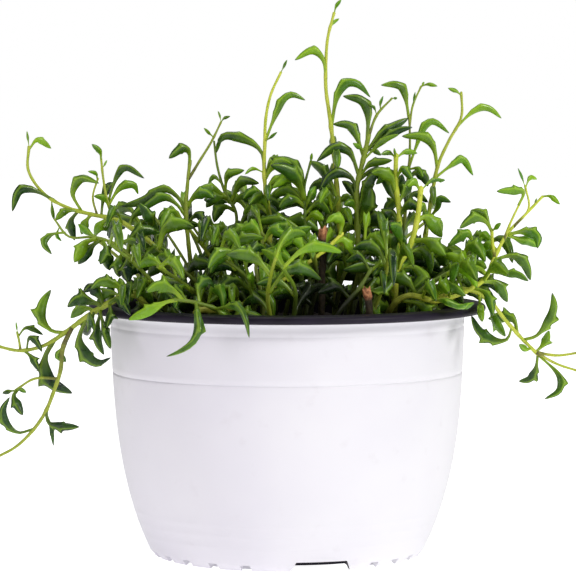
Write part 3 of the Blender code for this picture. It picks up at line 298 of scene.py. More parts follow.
# Fine stems, swollen where leaves start, and the ragged cut ends (how ragged and how dished in millimetres)
STEM_ROUND = 10
STEM_SPACING = 1.6 * MM
STEM_LUMP = 0.05
STEM_WAVE = 1.7
STEM_SHIFT = 9
STEM_TIP = 0.8
NODE_SWELL = 0.22
NODE_LENGTH = 1.3 * MM
NODE_REACH = 6 * MM
CUT_ROUND = 12
CUT_SPACING = 1.2 * MM
CUT_RAGGED = (-1.2, 1.5)
CUT_DISH = 1.2
CUT_LUMP = 0.22
CUT_ROUGH = 0.1
CUT_SHRUNKEN = 0.8
CUT_FLARE = 0.25
RAW_END = 5 * MM

# A hollow between the stems, with painted shade in it: its middle, its size each way and where its painted
# shade starts and ends
HOLLOW = Vector((14, -40, 108)) * MM
HOLLOW_SIZE = Vector((17, 34, 15)) * MM
HOLLOW_EDGE = 1.25
HOLLOW_FADE = 0.5
HOLLOW_FRONT = 0.4

# Painted shade low in the bush: how far above the soil it reaches, how dark it is, and how near the wall
SHADE_HEIGHT = 32 * MM
SHADE_LOW = 0.85
SHADE_RADIUS = 70 * MM
SHADE_FADE = 20 * MM

# Stems of the CAD model that lie in front of the bush: no leaf of the looks hides them
FRONT_STEMS = ("stem_front_yellow", "stem_front_right", "cut_stem_middle", "cut_stem_right", "cut_stem_front")
FRONT_MARGIN = 2.6 * MM
FRONT_SPACING = 3 * MM

# Places that the photograph leaves open and a drawn leaf of the looks keeps out of: column, row, size
LOOKS_GAPS = (
    (312, 143, 14), (243, 164, 12), (350, 146, 9), (424, 176, 8), (180, 245, 13), (193, 253, 7),
    (160, 208, 8), (203, 213, 8), (321, 164, 7), (380, 198, 8), (440, 225, 10),
)

# Leaves that only the looks have: how many go on a bush stem and low on a shown stem, and from where to where
EXTRA_LEAVES = (7, 0.24, 0.95)
EXTRA_LOW_LEAVES = (10, 0.12, 0.62)
EXTRA_SHIFT = (0.1, 0.9)
EXTRA_ATTEMPTS = 16
EXTRA_TURN = 0.9
EXTRA_SEED = 9000
ROOM_MARGIN = 1 * MM
LEAF_GROWTHS = (1.2, 1.12, 1.06)

# Short stems that only the looks have
SPRIGS = 11
SPRIG_LEAVES = 7
SPRIG_WIDTHS = (1.8, 1.0)
SPRIG_SHIFT = 0.37
SPRIG_FIRST_LEAF = 0.25
SPRIG_LEAF_SPAN = 0.73
SPRIG_ATTEMPTS = 30
SPRIG_SEED = 5000
SPRIG_LEAF_SEED = 3000

# How yellow a stem is and how bright its leaves are: by name, or else drawn from a range. The dull leaves of
# the left stems and the front drape are painted shade.
YELLOW_STEMS = {
    "stem_centre_left": 0.9, "stem_tallest": 0.75, "stem_front_yellow": 1.0, "stem_right_spray": 0.85,
    "stem_front_right": 0.95, "stem_left_trail": 0.45, "stem_right_tall": 0.6, "stem_bud": 0.9,
    "stem_right_trail": 0.7, "stem_far_left": 0.55,
}
YELLOW_RANGE = (0.0, 0.4)
# the low values of the left stems and the front drape paint the shade of the plant's left side into their
# leaves
BRIGHT_AND_SHADED_LEAVES = {
    "stem_front_yellow": 0.75, "stem_front_right": 0.45, "stem_front_mid": 0.6, "stem_right_spray": 0.45,
    "stem_tallest": 0.4, "stem_front_drape": 0.12, "stem_right_trail": 0.35, "stem_centre_left": 0.35,
    "stem_left_trail": 0.05, "stem_left_low": 0.05, "stem_left_tall": 0.1, "stem_far_left": 0.12,
}
BRIGHT_RANGE = (0.0, 0.25)

# How young a leaf looks, from 0 to 1: more up its stem and on a short leaf, and some leaves are fresh
YOUNG_RANGE = (-0.2, 0.18)
YOUNG_BRIGHT = 0.8
YOUNG_RISE = 0.35
LOW_PLANT = 20 * MM
YOUNG_HEIGHT = 0.45
YOUNG_SHORT = 0.3
FRESH_SHARE = 0.22
FRESH_RANGE = (0.2, 0.55)
FRESH_LOW = 0.45
LOOKS_SEED = 400
CUT_SEED = 60


SHOWN_STEMS = []


def stem(name, root, depths, widths, path, leaves=(), shoots=()):
    """Notes a stem that the photograph shows.

    root is its place in the soil in millimetres, depths how far behind the pot's axis its first and last
    pixels are, widths its thickness at foot and tip, and path its pixels. A leaf is its width and its
    pixels from foot to tip, with their depths where it hangs over the lip. A shoot is its widths, its
    pixels and its leaves.
    """
    SHOWN_STEMS.append({"name": name, "root": root, "depths": depths, "widths": widths, "path": path,
                        "leaves": leaves, "shoots": shoots})


stem(
    "stem_far_left", (-44, -6), (-12, -14), (2.4, 1.1),
    [(176, 274), (153, 245), (134, 230), (115, 219), (94, 215), (76, 209), (57, 204), (45, 195),
     (35, 181), (26, 166), (24, 156), (29, 146)],
    [
        (1.7, [(29, 147), (27, 131)]),
        (3.0, [(28, 149), (38, 139), (51, 148)]),
        (4.0, [(52, 201), (32, 189), (18, 191), (12, 211)]),
        (2.6, [(50, 199), (52, 210), (54, 220)]),
        (3.4, [(78, 210), (64, 211), (55, 220)]),
        (4.2, [(78, 210), (70, 222), (74, 240)]),
        (4.0, [(82, 211), (72, 193), (81, 178), (99, 183)]),
    ],
    [
        ((1.4, 0.8), [(114, 219), (108, 204), (104, 185), (102, 166), (101, 158)],
         [
             (2.6, [(101, 160), (100, 151), (92, 144)]),
             (1.3, [(103, 168), (107, 160)]),
             (3.2, [(108, 202), (117, 175), (127, 167), (144, 178)]),
             (3.8, [(109, 204), (120, 187), (133, 184), (138, 194)]),
             (3.0, [(109, 206), (103, 197), (94, 196)]),
         ]),
        ((1.0, 0.8), [(97, 216), (92, 205), (94, 190), (98, 178)],
         [(1.9, [(98, 180), (96, 173), (88, 171)])]),
    ],
)
stem(
    "stem_left_low", (-46, -24), (-24, -22), (2.2, 0.8),
    [(140, 268), (118, 246), (104, 238), (95, 237), (80, 237), (66, 236), (58, 230), (54, 219)],
    [
        (3.0, [(62, 234), (51, 234), (43, 243), (51, 254)]),
        (1.7, [(57, 229), (56, 235), (61, 241)]),
        (5.4, [(97, 238), (84, 243), (74, 262)]),
        (3.4, [(97, 237), (87, 231), (78, 224)]),
        (5.0, [(104, 238), (106, 250), (100, 264)]),
        (5.0, [(117, 245), (124, 256), (130, 272)]),
    ],
)
stem(
    "stem_left_tall", (-38, 2), (-2, -2), (2.4, 1.4),
    [(187, 230), (186, 205), (187, 190), (188, 175), (190, 160)],
    [
        (4.4, [(190, 163), (189, 151), (181, 148), (169, 158)]),
        (4.8, [(186, 214), (180, 199), (164, 188), (144, 200), (121, 206)]),
        (4.0, [(186, 222), (198, 214), (207, 226)]),
    ],
    [
        ((1.3, 0.8), [(188, 180), (192, 171), (200, 160), (214, 137), (221, 122)],
         [
             (1.5, [(220, 123), (224, 118), (230, 116)]),
             (1.3, [(221, 122), (220, 116), (218, 111)]),
             (1.8, [(214, 137), (204, 128)]),
         ]),
    ],
)
stem(
    "stem_mid_left", (-24, 10), (8, 6), (2.0, 0.9),
    [(236, 216), (229, 200), (223, 187), (217, 165), (214, 152), (214, 141)],
    [
        (3.8, [(225, 190), (228, 174), (244, 170)]),
        (2.4, [(221, 184), (214, 176), (208, 184)]),
        (4.4, [(231, 203), (241, 181), (259, 183)]),
        (5.0, [(226, 197), (211, 188), (197, 190)]),
    ],
)
stem(
    "stem_centre_left", (-9, -4), (-4, 0), (2.6, 1.0),
    [(270, 225), (266, 195), (264, 166), (265, 140), (265, 124), (270, 97), (277, 79), (281, 72)],
    [
        (1.7, [(281, 73), (287, 60)]),
        (3.6, [(266, 142), (273, 120), (282, 100), (292, 94), (305, 100)]),
        (1.6, [(266, 141), (277, 132)]),
        (4.2, [(265, 172), (262, 152), (248, 140), (230, 135), (221, 138), (216, 153)]),
        (1.8, [(264, 174), (253, 168), (245, 174)]),
        (4.4, [(268, 214), (255, 204), (243, 214)]),
    ],
)
stem(
    "stem_centre", (4, -8), (-8, -6), (2.2, 0.9),
    [(306, 240), (305, 212), (304, 192), (307, 175), (311, 160)],
    [
        (2.0, [(310, 163), (312, 153)]),
        (6.0, [(304, 196), (301, 176), (290, 163), (271, 158)]),
        (4.6, [(304, 196), (290, 176), (272, 188)]),
        (4.8, [(305, 214), (318, 202), (330, 214)]),
    ],
)
stem(
    "stem_tallest", (20, 2), (4, 0), (3.0, 1.1),
    [(341, 245), (338, 205), (336, 175), (334, 154), (331, 126), (327, 98), (325, 79), (326, 60),
     (327, 42), (330, 27), (334, 13)],
    [
        (1.8, [(334, 14), (336, 6), (341, 0)]),
        (1.6, [(330, 28), (334, 22), (339, 19)]),
        (3.6, [(325, 77), (323, 59), (312, 50), (295, 60)]),
        (4.2, [(332, 126), (336, 98), (345, 83), (358, 84), (370, 97)]),
        (5.0, [(339, 214), (326, 200), (308, 210)]),
    ],
)
stem(
    "stem_right_mid", (32, 2), (0, -2), (2.8, 1.8),
    [(358, 235), (357, 210), (357, 188), (362, 164), (367, 146), (369, 134)],
    [
        (4.6, [(369, 140), (368, 110), (360, 99), (343, 96)]),
        (4.4, [(363, 158), (355, 131), (347, 124), (333, 124)]),
        (4.6, [(359, 176), (350, 152), (334, 147), (317, 161)]),
        (4.6, [(366, 154), (380, 134), (393, 126), (408, 118)]),
        (3.4, [(365, 160), (382, 141), (399, 134)]),
        (2.4, [(366, 152), (374, 150), (381, 155)]),
        (2.4, [(365, 150), (353, 143)]),
        (4.8, [(357, 197), (353, 179), (341, 172), (329, 176), (320, 190)]),
        (3.8, [(360, 176), (371, 163), (392, 160)]),
    ],
    [
        ((1.3, 0.8), [(368, 138), (375, 119), (380, 108), (387, 101), (392, 98)],
         [
             (1.3, [(391, 99), (397, 98)]),
             (1.4, [(379, 111), (380, 103), (383, 96)]),
             (1.4, [(377, 115), (374, 107), (369, 105)]),
         ]),
    ],
)
stem(
    "stem_bud", (40, -12), (-12, -12), (2.4, 1.8),
    [(400, 230), (398, 205), (396, 185), (396, 170), (396, 154)],
    [
        (2.4, [(396, 157), (389, 152), (381, 154)]),
        (2.8, [(396, 157), (406, 151), (417, 153)]),
        (1.8, [(396, 156), (394, 148)]),
        (4.2, [(397, 188), (390, 172), (376, 184)]),
        (4.0, [(396, 178), (403, 168), (413, 180)]),
    ],
)
stem(
    "stem_right_fine", (44, 12), (12, 8), (1.9, 0.9),
    [(404, 225), (406, 198), (409, 168), (410, 129), (409, 115)],
    [
        (3.8, [(409, 118), (404, 91), (396, 84), (381, 85)]),
        (3.4, [(409, 166), (417, 143), (424, 126), (434, 121), (449, 133)]),
        (2.8, [(408, 170), (418, 168), (423, 177)]),
        (4.2, [(405, 204), (415, 193), (428, 202)]),
    ],
    [
        ((0.9, 0.8), [(410, 128), (413, 103), (417, 92), (421, 86)],
         [
             (1.5, [(412, 106), (415, 92)]),
             (1.4, [(420, 87), (424, 82)]),
             (2.0, [(420, 87), (428, 84), (437, 86)]),
         ]),
    ],
)
stem(
    "stem_right_tall", (52, 2), (2, 2), (2.6, 1.0),
    [(424, 245), (428, 220), (431, 200), (436, 174), (439, 162), (448, 142), (458, 125), (463, 110),
     (464, 99), (461, 92)],
    [
        (2.2, [(462, 94), (456, 91), (448, 88)]),
        (3.2, [(457, 128), (469, 114), (481, 107), (491, 109), (501, 118)]),
        (4.4, [(438, 168), (434, 148), (424, 136), (402, 136)]),
        (3.4, [(436, 178), (451, 165), (463, 159), (473, 175)]),
        (1.6, [(435, 180), (427, 182)]),
        (1.8, [(435, 180), (445, 180)]),
        (4.0, [(430, 218), (437, 208), (440, 198), (451, 202)]),
    ],
)
stem(
    "stem_right_spray", (40, -32), (-42, -20), (2.8, 1.0),
    [(400, 294), (416, 298), (431, 301), (446, 299), (463, 293), (479, 283), (491, 274), (495, 262),
     (496, 248), (503, 238), (514, 228), (525, 215), (535, 202), (543, 196)],
    [
        (2.6, [(542, 197), (551, 196), (560, 204)]),
        (1.3, [(534, 204), (537, 198)]),
        (4.6, [(506, 235), (525, 231), (538, 236), (538, 248)]),
        (4.6, [(496, 260), (512, 255), (525, 262), (531, 280)]),
        (3.6, [(492, 273), (505, 273), (518, 274), (529, 281)]),
        (4.8, [(482, 281), (498, 283), (508, 302)]),
        (4.8, [(474, 287), (488, 294), (494, 316)]),
        (4.2, [(434, 299), (446, 301), (461, 307), (475, 303)], (-41, -54, -60, -54)),
        (5.4, [(428, 300), (450, 286), (466, 296)]),
    ],
    [
        ((1.2, 0.8), [(502, 240), (511, 222), (520, 203)],
         [(3.8, [(519, 206), (524, 192), (512, 190), (497, 191)])]),
        ((1.1, 0.8), [(516, 227), (527, 213), (530, 197), (525, 185)],
         [
             (1.5, [(525, 187), (522, 177), (518, 168)]),
             (2.2, [(526, 187), (530, 177), (537, 179)]),
         ]),
        ((1.6, 1.2), [(496, 258), (493, 243), (492, 229)],
         [
             (4.4, [(492, 231), (486, 221), (474, 217), (460, 228)]),
             (3.4, [(492, 231), (484, 213), (471, 210)]),
             (2.6, [(492, 230), (501, 223)]),
         ]),
    ],
)
stem(
    "stem_right_cluster", (56, -14), (-16, -14), (2.2, 1.2),
    [(462, 288), (468, 270), (473, 255), (478, 241)],
    [
        (4.6, [(476, 247), (467, 233), (449, 245)]),
        (5.6, [(470, 266), (456, 250), (437, 258)]),
        (4.0, [(477, 243), (484, 234), (492, 242)]),
        (5.0, [(464, 284), (450, 272), (432, 281)]),
    ],
)
stem(
    "stem_right_trail", (50, -24), (-30, -10), (2.4, 1.3),
    [(455, 288), (473, 291), (486, 297), (496, 308), (505, 319), (514, 330), (527, 343), (539, 355)],
    [
        (4.2, [(512, 327), (508, 340), (495, 341), (480, 332), (472, 316)]),
        (4.8, [(517, 334), (515, 320), (503, 316), (489, 319)]),
        (4.2, [(525, 341), (538, 336), (550, 321), (555, 307), (553, 293)]),
        (3.8, [(536, 352), (546, 343), (550, 331)]),
        (3.2, [(533, 349), (527, 350), (520, 345)]),
        (3.6, [(538, 354), (537, 370), (531, 380), (520, 382)]),
        (3.2, [(538, 354), (560, 375), (561, 391), (546, 400)]),
    ],
    [
        ((1.4, 0.9), [(537, 353), (556, 356), (572, 353), (580, 353)],
         [(2.6, [(577, 353), (582, 348), (586, 356)]), (1.6, [(577, 353), (585, 351)])]),
        ((1.3, 0.9), [(537, 353), (557, 364), (575, 370), (581, 372)],
         [(2.8, [(578, 371), (583, 371), (586, 381)])]),
    ],
)
stem(
    "stem_left_trail", (-50, -34), (-40, -24), (3.0, 1.2),
    [(132, 294), (111, 302), (89, 315), (71, 327), (55, 341), (38, 347), (20, 351), (4, 348), (-6, 346)],
    [
        (2.6, [(-4, 346), (-10, 341), (-15, 348)]),
        (4.6, [(64, 332), (50, 331), (40, 319), (41, 304), (50, 290)]),
        (3.2, [(26, 349), (28, 338), (35, 341), (41, 352)]),
        (5.0, [(86, 317), (78, 338), (84, 355), (96, 364), (110, 358)]),
        (4.0, [(100, 309), (96, 328), (97, 343), (103, 355)]),
        (6.0, [(53, 341), (43, 360), (48, 382), (71, 394)]),
        (3.4, [(22, 351), (31, 358), (38, 371)]),
        (4.6, [(124, 296), (108, 292), (96, 303)]),
        (5.2, [(104, 306), (90, 301), (77, 299), (67, 307)]),
    ],
    [
        ((1.1, 0.8), [(21, 351), (18, 341), (16, 332)],
         [(1.3, [(16, 334), (15, 322)]), (2.4, [(17, 337), (24, 328), (32, 329), (42, 335)])]),
        ((2.0, 1.1), [(70, 328), (63, 342), (61, 363), (57, 380), (51, 396), (41, 419), (30, 433),
                      (13, 449), (0, 457), (-6, 459)],
         [
             (2.6, [(-4, 459), (-10, 461), (-14, 469)]),
             (4.0, [(63, 346), (57, 355), (65, 362)]),
             (3.8, [(45, 410), (47, 424), (60, 428), (78, 428)]),
             (2.6, [(45, 412), (50, 430), (52, 447)]),
             (3.6, [(33, 430), (16, 434), (4, 424), (1, 411), (8, 398)]),
         ]),
        ((1.2, 0.9), [(57, 380), (44, 378), (30, 380), (20, 384), (14, 391)],
         [(4.4, [(15, 389), (12, 398), (21, 416)]), (2.2, [(15, 390), (7, 392), (1, 394)]),
          (2.2, [(14, 391), (19, 390), (25, 393)])]),
    ],
)
stem(
    "stem_front_yellow", (-36, -44), (-52, -44), (2.8, 1.3),
    [(196, 312), (211, 312), (239, 307), (259, 296), (278, 283), (303, 266), (329, 247), (343, 233)],
    [
        (4.6, [(342, 235), (342, 221), (334, 217), (326, 223)]),
        (3.4, [(325, 250), (342, 239), (350, 247), (359, 260)]),
        (4.6, [(286, 278), (296, 263), (317, 276)]),
        (3.6, [(243, 306), (262, 300), (278, 291), (289, 291), (294, 302), (293, 317)]),
        (4.4, [(236, 308), (238, 293), (229, 288), (207, 304)]),
    ],
)
stem(
    "stem_front_drape", (-26, -58), (-66, -70), (2.2, 1.2),
    [(216, 306), (205, 303), (194, 304), (184, 302), (174, 299)],
    [
        (4.9, [(195, 303), (197, 312), (198, 325), (196, 336), (190, 345), (179, 352), (166, 357)],
         (-70, -86, -87, -87, -87, -87, -87)),
        (4.6, [(178, 300), (165, 302), (147, 311), (128, 320)]),
        (3.8, [(214, 306), (236, 306), (245, 318), (249, 338)], (-66, -82, -87, -87)),
        (4.0, [(186, 302), (178, 291), (165, 292)]),
    ],
)
stem(
    "stem_front_right", (44, -24), (-28, -22), (2.7, 2.1),
    [(396, 280), (400, 262), (410, 246), (414, 232), (417, 219), (422, 200), (421, 187)],
    [
        (3.8, [(421, 190), (414, 181), (407, 186)]),
        (2.0, [(421, 190), (432, 180), (445, 180)]),
        (5.0, [(399, 265), (393, 243), (400, 235), (407, 244)]),
        (4.4, [(405, 256), (420, 248), (430, 257), (431, 274)]),
        (6.0, [(412, 240), (430, 241), (446, 256)]),
        (6.4, [(416, 222), (424, 216), (433, 222), (442, 237)]),
        (4.8, [(398, 272), (412, 266), (423, 277), (408, 293)]),
        (5.0, [(397, 276), (372, 266), (343, 270)]),
    ],
)
stem(
    "stem_front_low", (18, -50), (-54, -50), (2.2, 1.4),
    [(344, 305), (356, 292), (367, 280), (372, 268)],
    [
        (4.4, [(371, 271), (384, 262), (397, 270)]),
        (4.4, [(360, 288), (374, 291), (388, 288), (394, 276)]),
        (4.8, [(351, 298), (336, 286), (318, 293)]),
        (4.2, [(372, 270), (360, 256), (346, 262)]),
    ],
)
stem(
    "stem_front_mid", (-10, -44), (-46, -42), (2.2, 1.3),
    [(262, 290), (256, 270), (258, 252), (264, 238)],
    [
        (4.6, [(263, 241), (273, 229), (288, 238)]),
        (4.8, [(257, 258), (240, 250), (226, 262)]),
        (5.0, [(258, 252), (276, 249), (292, 262)]),
        (4.2, [(264, 240), (254, 226), (240, 230)]),
    ],
)

# More leaves that the photo shows, by their stem: width in millimetres, then pixels from foot to tip
MORE_SHOWN_LEAVES = {
    "stem_left_trail": [
        (5.2, [(106, 304), (116, 299), (124, 305), (130, 315)]),
        (4.6, [(128, 296), (116, 285), (101, 281), (90, 289)]),
        (4.4, [(96, 312), (87, 308), (78, 310), (70, 318)]),
        (4.6, [(127, 296), (137, 289), (147, 294), (152, 306)]),
        (5.0, [(104, 305), (98, 294), (90, 287), (83, 292)]),
        (4.4, [(118, 299), (121, 287), (119, 278)]),
        (4.2, [(108, 303), (110, 314), (106, 328)]),
    ],
    "stem_front_drape": [
        (5.0, [(184, 301), (173, 290), (158, 285), (146, 292)]),
        (4.4, [(200, 303), (198, 288), (207, 280), (214, 288)]),
        (4.2, [(211, 305), (222, 314), (229, 322)]),
    ],
    "stem_front_yellow": [
        (4.2, [(240, 307), (236, 292), (226, 287), (208, 301)]),
        (3.4, [(292, 273), (300, 262), (302, 248), (292, 236), (276, 230)]),
        (3.0, [(276, 284), (270, 270), (262, 262)]),
    ],
    "stem_front_mid": [
        (3.4, [(259, 250), (270, 252), (283, 245), (293, 241)]),
    ],
    "stem_tallest": [
        (6.0, [(340, 262), (334, 264), (331, 273), (335, 284)]),
        (4.4, [(339, 204), (345, 197), (352, 200)]),
        (4.6, [(340, 221), (345, 211), (352, 213)]),
        (4.6, [(341, 238), (347, 226), (355, 228)]),
        (4.0, [(338, 192), (328, 186), (319, 190)]),
    ],
    "stem_right_mid": [
        (6.4, [(357, 227), (364, 214), (370, 202), (371, 187)]),
        (3.8, [(367, 152), (384, 138), (398, 130), (412, 127)]),
        (6.0, [(357, 212), (364, 194), (371, 178), (382, 169)]),
        (6.0, [(357, 222), (363, 208), (366, 196), (363, 184)]),
        (5.6, [(358, 230), (366, 220), (377, 216), (387, 221)]),
        (4.6, [(357, 201), (350, 187), (342, 181)]),
        (4.6, [(357, 214), (351, 202), (344, 205)]),
        (5.0, [(360, 180), (369, 172), (379, 173), (386, 182)]),
    ],
    "stem_bud": [
        (5.4, [(397, 192), (391, 178), (381, 171), (371, 173)]),
        (5.2, [(398, 206), (393, 194), (388, 184), (380, 178)]),
        (5.0, [(398, 204), (405, 190), (411, 178)]),
        (5.2, [(399, 222), (393, 212), (386, 215), (380, 225)]),
        (5.0, [(399, 218), (406, 206), (414, 204), (420, 212)]),
    ],
    "stem_right_fine": [
        (5.0, [(405, 214), (397, 203), (389, 205), (384, 214)]),
        (4.8, [(408, 182), (415, 172), (424, 176), (428, 186)]),
        (4.6, [(406, 200), (400, 188), (402, 174)]),
    ],
    "stem_right_tall": [
        (4.8, [(429, 216), (422, 206), (416, 212)]),
        (5.0, [(428, 222), (436, 220), (442, 232)]),
    ],
    "stem_mid_left": [
        (5.0, [(230, 202), (222, 196), (213, 198), (206, 207)]),
        (5.0, [(233, 210), (225, 206), (217, 211), (214, 222)]),
        (4.8, [(228, 198), (216, 197), (204, 200)]),
        (4.6, [(232, 206), (240, 196), (250, 198), (256, 206)]),
    ],
    "stem_centre_left": [
        (5.0, [(267, 205), (260, 194), (250, 192), (243, 199)]),
        (5.0, [(266, 192), (273, 180), (284, 180), (292, 190)]),
        (4.6, [(266, 180), (271, 168), (281, 160), (292, 164)]),
    ],
    "stem_centre": [
        (5.0, [(305, 208), (296, 199), (286, 200), (279, 208)]),
        (6.0, [(305, 200), (299, 181), (287, 169), (271, 165)]),
        (5.0, [(304, 202), (294, 192), (284, 190), (275, 195)]),
        (5.0, [(305, 205), (311, 195), (316, 186)]),
        (4.8, [(305, 220), (314, 214), (324, 220)]),
    ],
    "stem_left_tall": [
        (5.0, [(186, 217), (177, 204), (163, 196), (147, 205), (138, 212)]),
        (5.0, [(186, 208), (194, 196), (205, 192), (214, 198)]),
        (4.6, [(186, 226), (176, 214), (166, 212), (158, 219)]),
    ],
    "stem_far_left": [
        (5.0, [(146, 238), (151, 223), (146, 211), (139, 203)]),
        (5.0, [(128, 226), (134, 214), (143, 210), (151, 217)]),
        (4.4, [(92, 215), (85, 222), (81, 234)]),
        (4.4, [(106, 217), (100, 224), (94, 234)]),
        (5.2, [(136, 231), (142, 222), (152, 224), (158, 233)]),
        (5.0, [(172, 270), (163, 265), (154, 269), (147, 277)]),
    ],
    "stem_left_low": [
        (6.0, [(112, 243), (106, 254), (109, 270)]),
        (6.0, [(123, 251), (117, 262), (119, 277)]),
        (5.6, [(129, 257), (125, 268), (128, 282)]),
        (5.2, [(100, 238), (91, 246), (84, 254), (78, 264)]),
        (5.0, [(118, 246), (127, 240), (138, 244), (146, 256)]),
    ],
    "stem_right_spray": [
        (5.0, [(508, 235), (520, 239), (530, 241), (538, 247)]),
        (4.4, [(495, 263), (502, 268), (509, 276)]),
        (5.0, [(488, 276), (480, 268), (470, 270), (463, 279)]),
        (4.6, [(497, 250), (490, 244), (484, 250)]),
    ],
    "stem_right_cluster": [
        (5.0, [(474, 254), (482, 246), (490, 251), (494, 262)]),
        (5.0, [(472, 260), (462, 252), (452, 256), (446, 266)]),
        (5.0, [(468, 272), (478, 264), (487, 268)]),
    ],
}

# Dried cut ends of old stems: place in the soil, pixel of the end, depth behind the pot's axis
CUT_STEMS = (
    ("cut_stem_middle", (14, -30), (323, 228), -32),
    ("cut_stem_right", (42, -2), (395, 224), -4),
    ("cut_stem_front", (34, -52), (367, 288), -58),
)
CUT_STEM_WIDTH = 3.2
CUT_STEM_KNEE = 0.4


def seen(column, row, depth):
    """The point at a pixel of the photograph, depth millimetres behind the pot's axis."""
    grow = (CAMERA_DISTANCE + depth * MM) / CAMERA_DISTANCE
    across = (column - AXIS_COLUMN) / PIXELS_PER_MM * MM
    below = CAMERA_HEIGHT - CENTRE_HEIGHT + (row - CENTRE_ROW) / PIXELS_PER_MM * MM
    return Vector((across * grow, depth * MM, CAMERA_HEIGHT - below * grow))


def looks_at(point):
    """Where a point looks to be in the photograph, across and down on the axis plane, and its depth."""
    share = CAMERA_DISTANCE / (CAMERA_DISTANCE + point.y)
    return point.x * share, (CAMERA_HEIGHT - point.z) * share, point.y


def crosses(path, gaps):
    """Whether a path looks, in the photograph, as if it crosses one of the places left open."""
    for across, down, _ in (looks_at(point) for point in path):
        column = AXIS_COLUMN + across / MM * PIXELS_PER_MM
        row = CENTRE_ROW + (down - (CAMERA_HEIGHT - CENTRE_HEIGHT)) / MM * PIXELS_PER_MM
        if any(math.hypot(column - x, row - y) < size + GAP_MARGIN for x, y, size in gaps):
            return True
    return False


def between(value, low=0.0, high=1.0):
    """The value, kept between two limits."""
    return min(high, max(low, value))


def wall_radius(height):
    """The outer radius of the wall: steep at the top, and rounding in towards the foot."""
    full = WALL_TOP_RADIUS - FOOT_RADIUS
    down = 1 - max(0.0, min(1.0, height / (POT_HEIGHT - LIP_THICK)))
    return WALL_TOP_RADIUS - full * (WALL_SLOPE * down + (1 - WALL_SLOPE) * down ** WALL_BEND)


def soil_height(x, y):
    """The potting mix's top: a low dome with lumps."""
    dome = SOIL_DOME * (1 - (x * x + y * y) / SOIL_DOME_RADIUS ** 2)
    lumps = math.sin(x * 210 + 1.3) * math.cos(y * 190 - 0.6) + math.sin(y * 330 + x * 120)
    return SOIL_TOP + dome + SOIL_LUMP * lumps


def in_pot(point, margin):
    """Whether a point lies in the pot or the soil, or within a margin of them."""
    radius = math.hypot(point.x, point.y)
    if point.z > POT_HEIGHT + margin:
        return False
    edge = LIP_RADIUS if point.z > POT_HEIGHT - LIP_THICK - margin else wall_radius(point.z)
    if radius > edge + margin:
        return False
    inside = wall_radius(POT_HEIGHT) - WALL - margin
    return radius > inside or point.z < soil_height(point.x, point.y) + margin


def smooth_path(points, spacing):
    """Points at an even spacing on a smooth curve through the given points."""
    ends = [points[0] * 2 - points[1], *points, points[-1] * 2 - points[-2]]
    fine = []
    for before, start, stop, after in zip(ends, ends[1:], ends[2:], ends[3:]):
        for step in range(CURVE_STEPS):
            t = step / CURVE_STEPS
            fine.append(0.5 * (2 * start + (stop - before) * t
                               + (2 * before - 5 * start + 4 * stop - after) * t ** 2
                               + (3 * start - before - 3 * stop + after) * t ** 3))
    fine.append(points[-1].copy())
    return resample(fine, spacing)


def resample(fine, spacing):
    """Points at an even spacing along a path."""
    count = max(2, round(path_length(fine) / spacing))
    return [point_along(fine, step / count) for step in range(count + 1)]


def point_along(path, share):
    """The point at a share of a path's length."""
    lengths = [(b - a).length for a, b in zip(path, path[1:])]
    left = share * sum(lengths)
    for start, stop, length in zip(path, path[1:], lengths):
        if left <= length:
            return start.lerp(stop, left / length) if length else start.copy()
        left -= length
    return path[-1].copy()


def path_length(path):
    """The length of a path."""
    return sum((b - a).length for a, b in zip(path, path[1:]))


def stem_path(root, points, spacing):
    """From the bottom of the stem's hole, straight up out of the soil, then on through the points."""
    x, y = root[0] * MM, root[1] * MM
    top = soil_height(x, y)
    bottom = Vector((x, y, top - ROOT_DEPTH))
    return [bottom, *smooth_path([Vector((x, y, top + 2 * MM)), *points], spacing)]


def photo_points(pixels, depths):
    """The pixels as points, with the depth going evenly from the first to the last."""
    runs = [0.0]
    for (x0, y0), (x1, y1) in zip(pixels, pixels[1:]):
        runs.append(runs[-1] + math.hypot(x1 - x0, y1 - y0))
    whole = runs[-1] or 1.0
    return [seen(x, y, depths[0] + (depths[1] - depths[0]) * run / whole)
            for (x, y), run in zip(pixels, runs)]


def tube_radii(path, widths):
    """The radius at each point of a path that tapers from its foot to its tip."""
    last = len(path) - 1
    return [(widths[0] + (widths[1] - widths[0]) * step / last) * MM / 2 for step in range(last + 1)]


def tubes_touch(path, radii, others):
    """Whether a tube comes near one of the others."""
    samples = [(start.lerp(stop, step / 4), radius)
               for start, stop, radius in zip(path, path[1:], radii) for step in range(5)]
    for other_path, other_radii in others:
        reach = max(radii) + max(other_radii) + 2 * CLEAR
        for point, radius in samples:
            for start, stop, other in zip(other_path, other_path[1:], other_radii):
                if (start - point).length > reach + (stop - start).length:
                    continue
                along = (point - start).dot(stop - start) / max((stop - start).length_squared, 1e-12)
                gap = (start.lerp(stop, max(0.0, min(1.0, along))) - point).length
                if gap < radius + other + 2 * CLEAR:
                    return True
    return False


def tube_hits_pot(path, radii):
    """Whether a tube above its hole runs into the pot or the soil."""
    above = [p for p in zip(path, radii) if p[0].z > soil_height(p[0].x, p[0].y) + 3 * MM
             or math.hypot(p[0].x, p[0].y) > WALL_TOP_RADIUS - 4 * MM]
    for (start, radius), (stop, _) in zip(above, above[1:]):
        if any(in_pot(start.lerp(stop, step / 6), radius + CLEAR) for step in range(7)):
            return True
    return False


def belly(share):
    """A leaf's half width along its length, as a share of the widest: a stalk, a body and a blunt end."""
    rise = min(1.0, max(0.0, (share - STALK_END) / (BODY_START - STALK_END)))
    swell = LEAF_FOOT + (1 - LEAF_FOOT) * rise * rise * (3 - 2 * rise)
    fall = max(0.0, (share - TIP_START) / (1 - TIP_START))
    return swell * math.sqrt(1 - fall * fall)


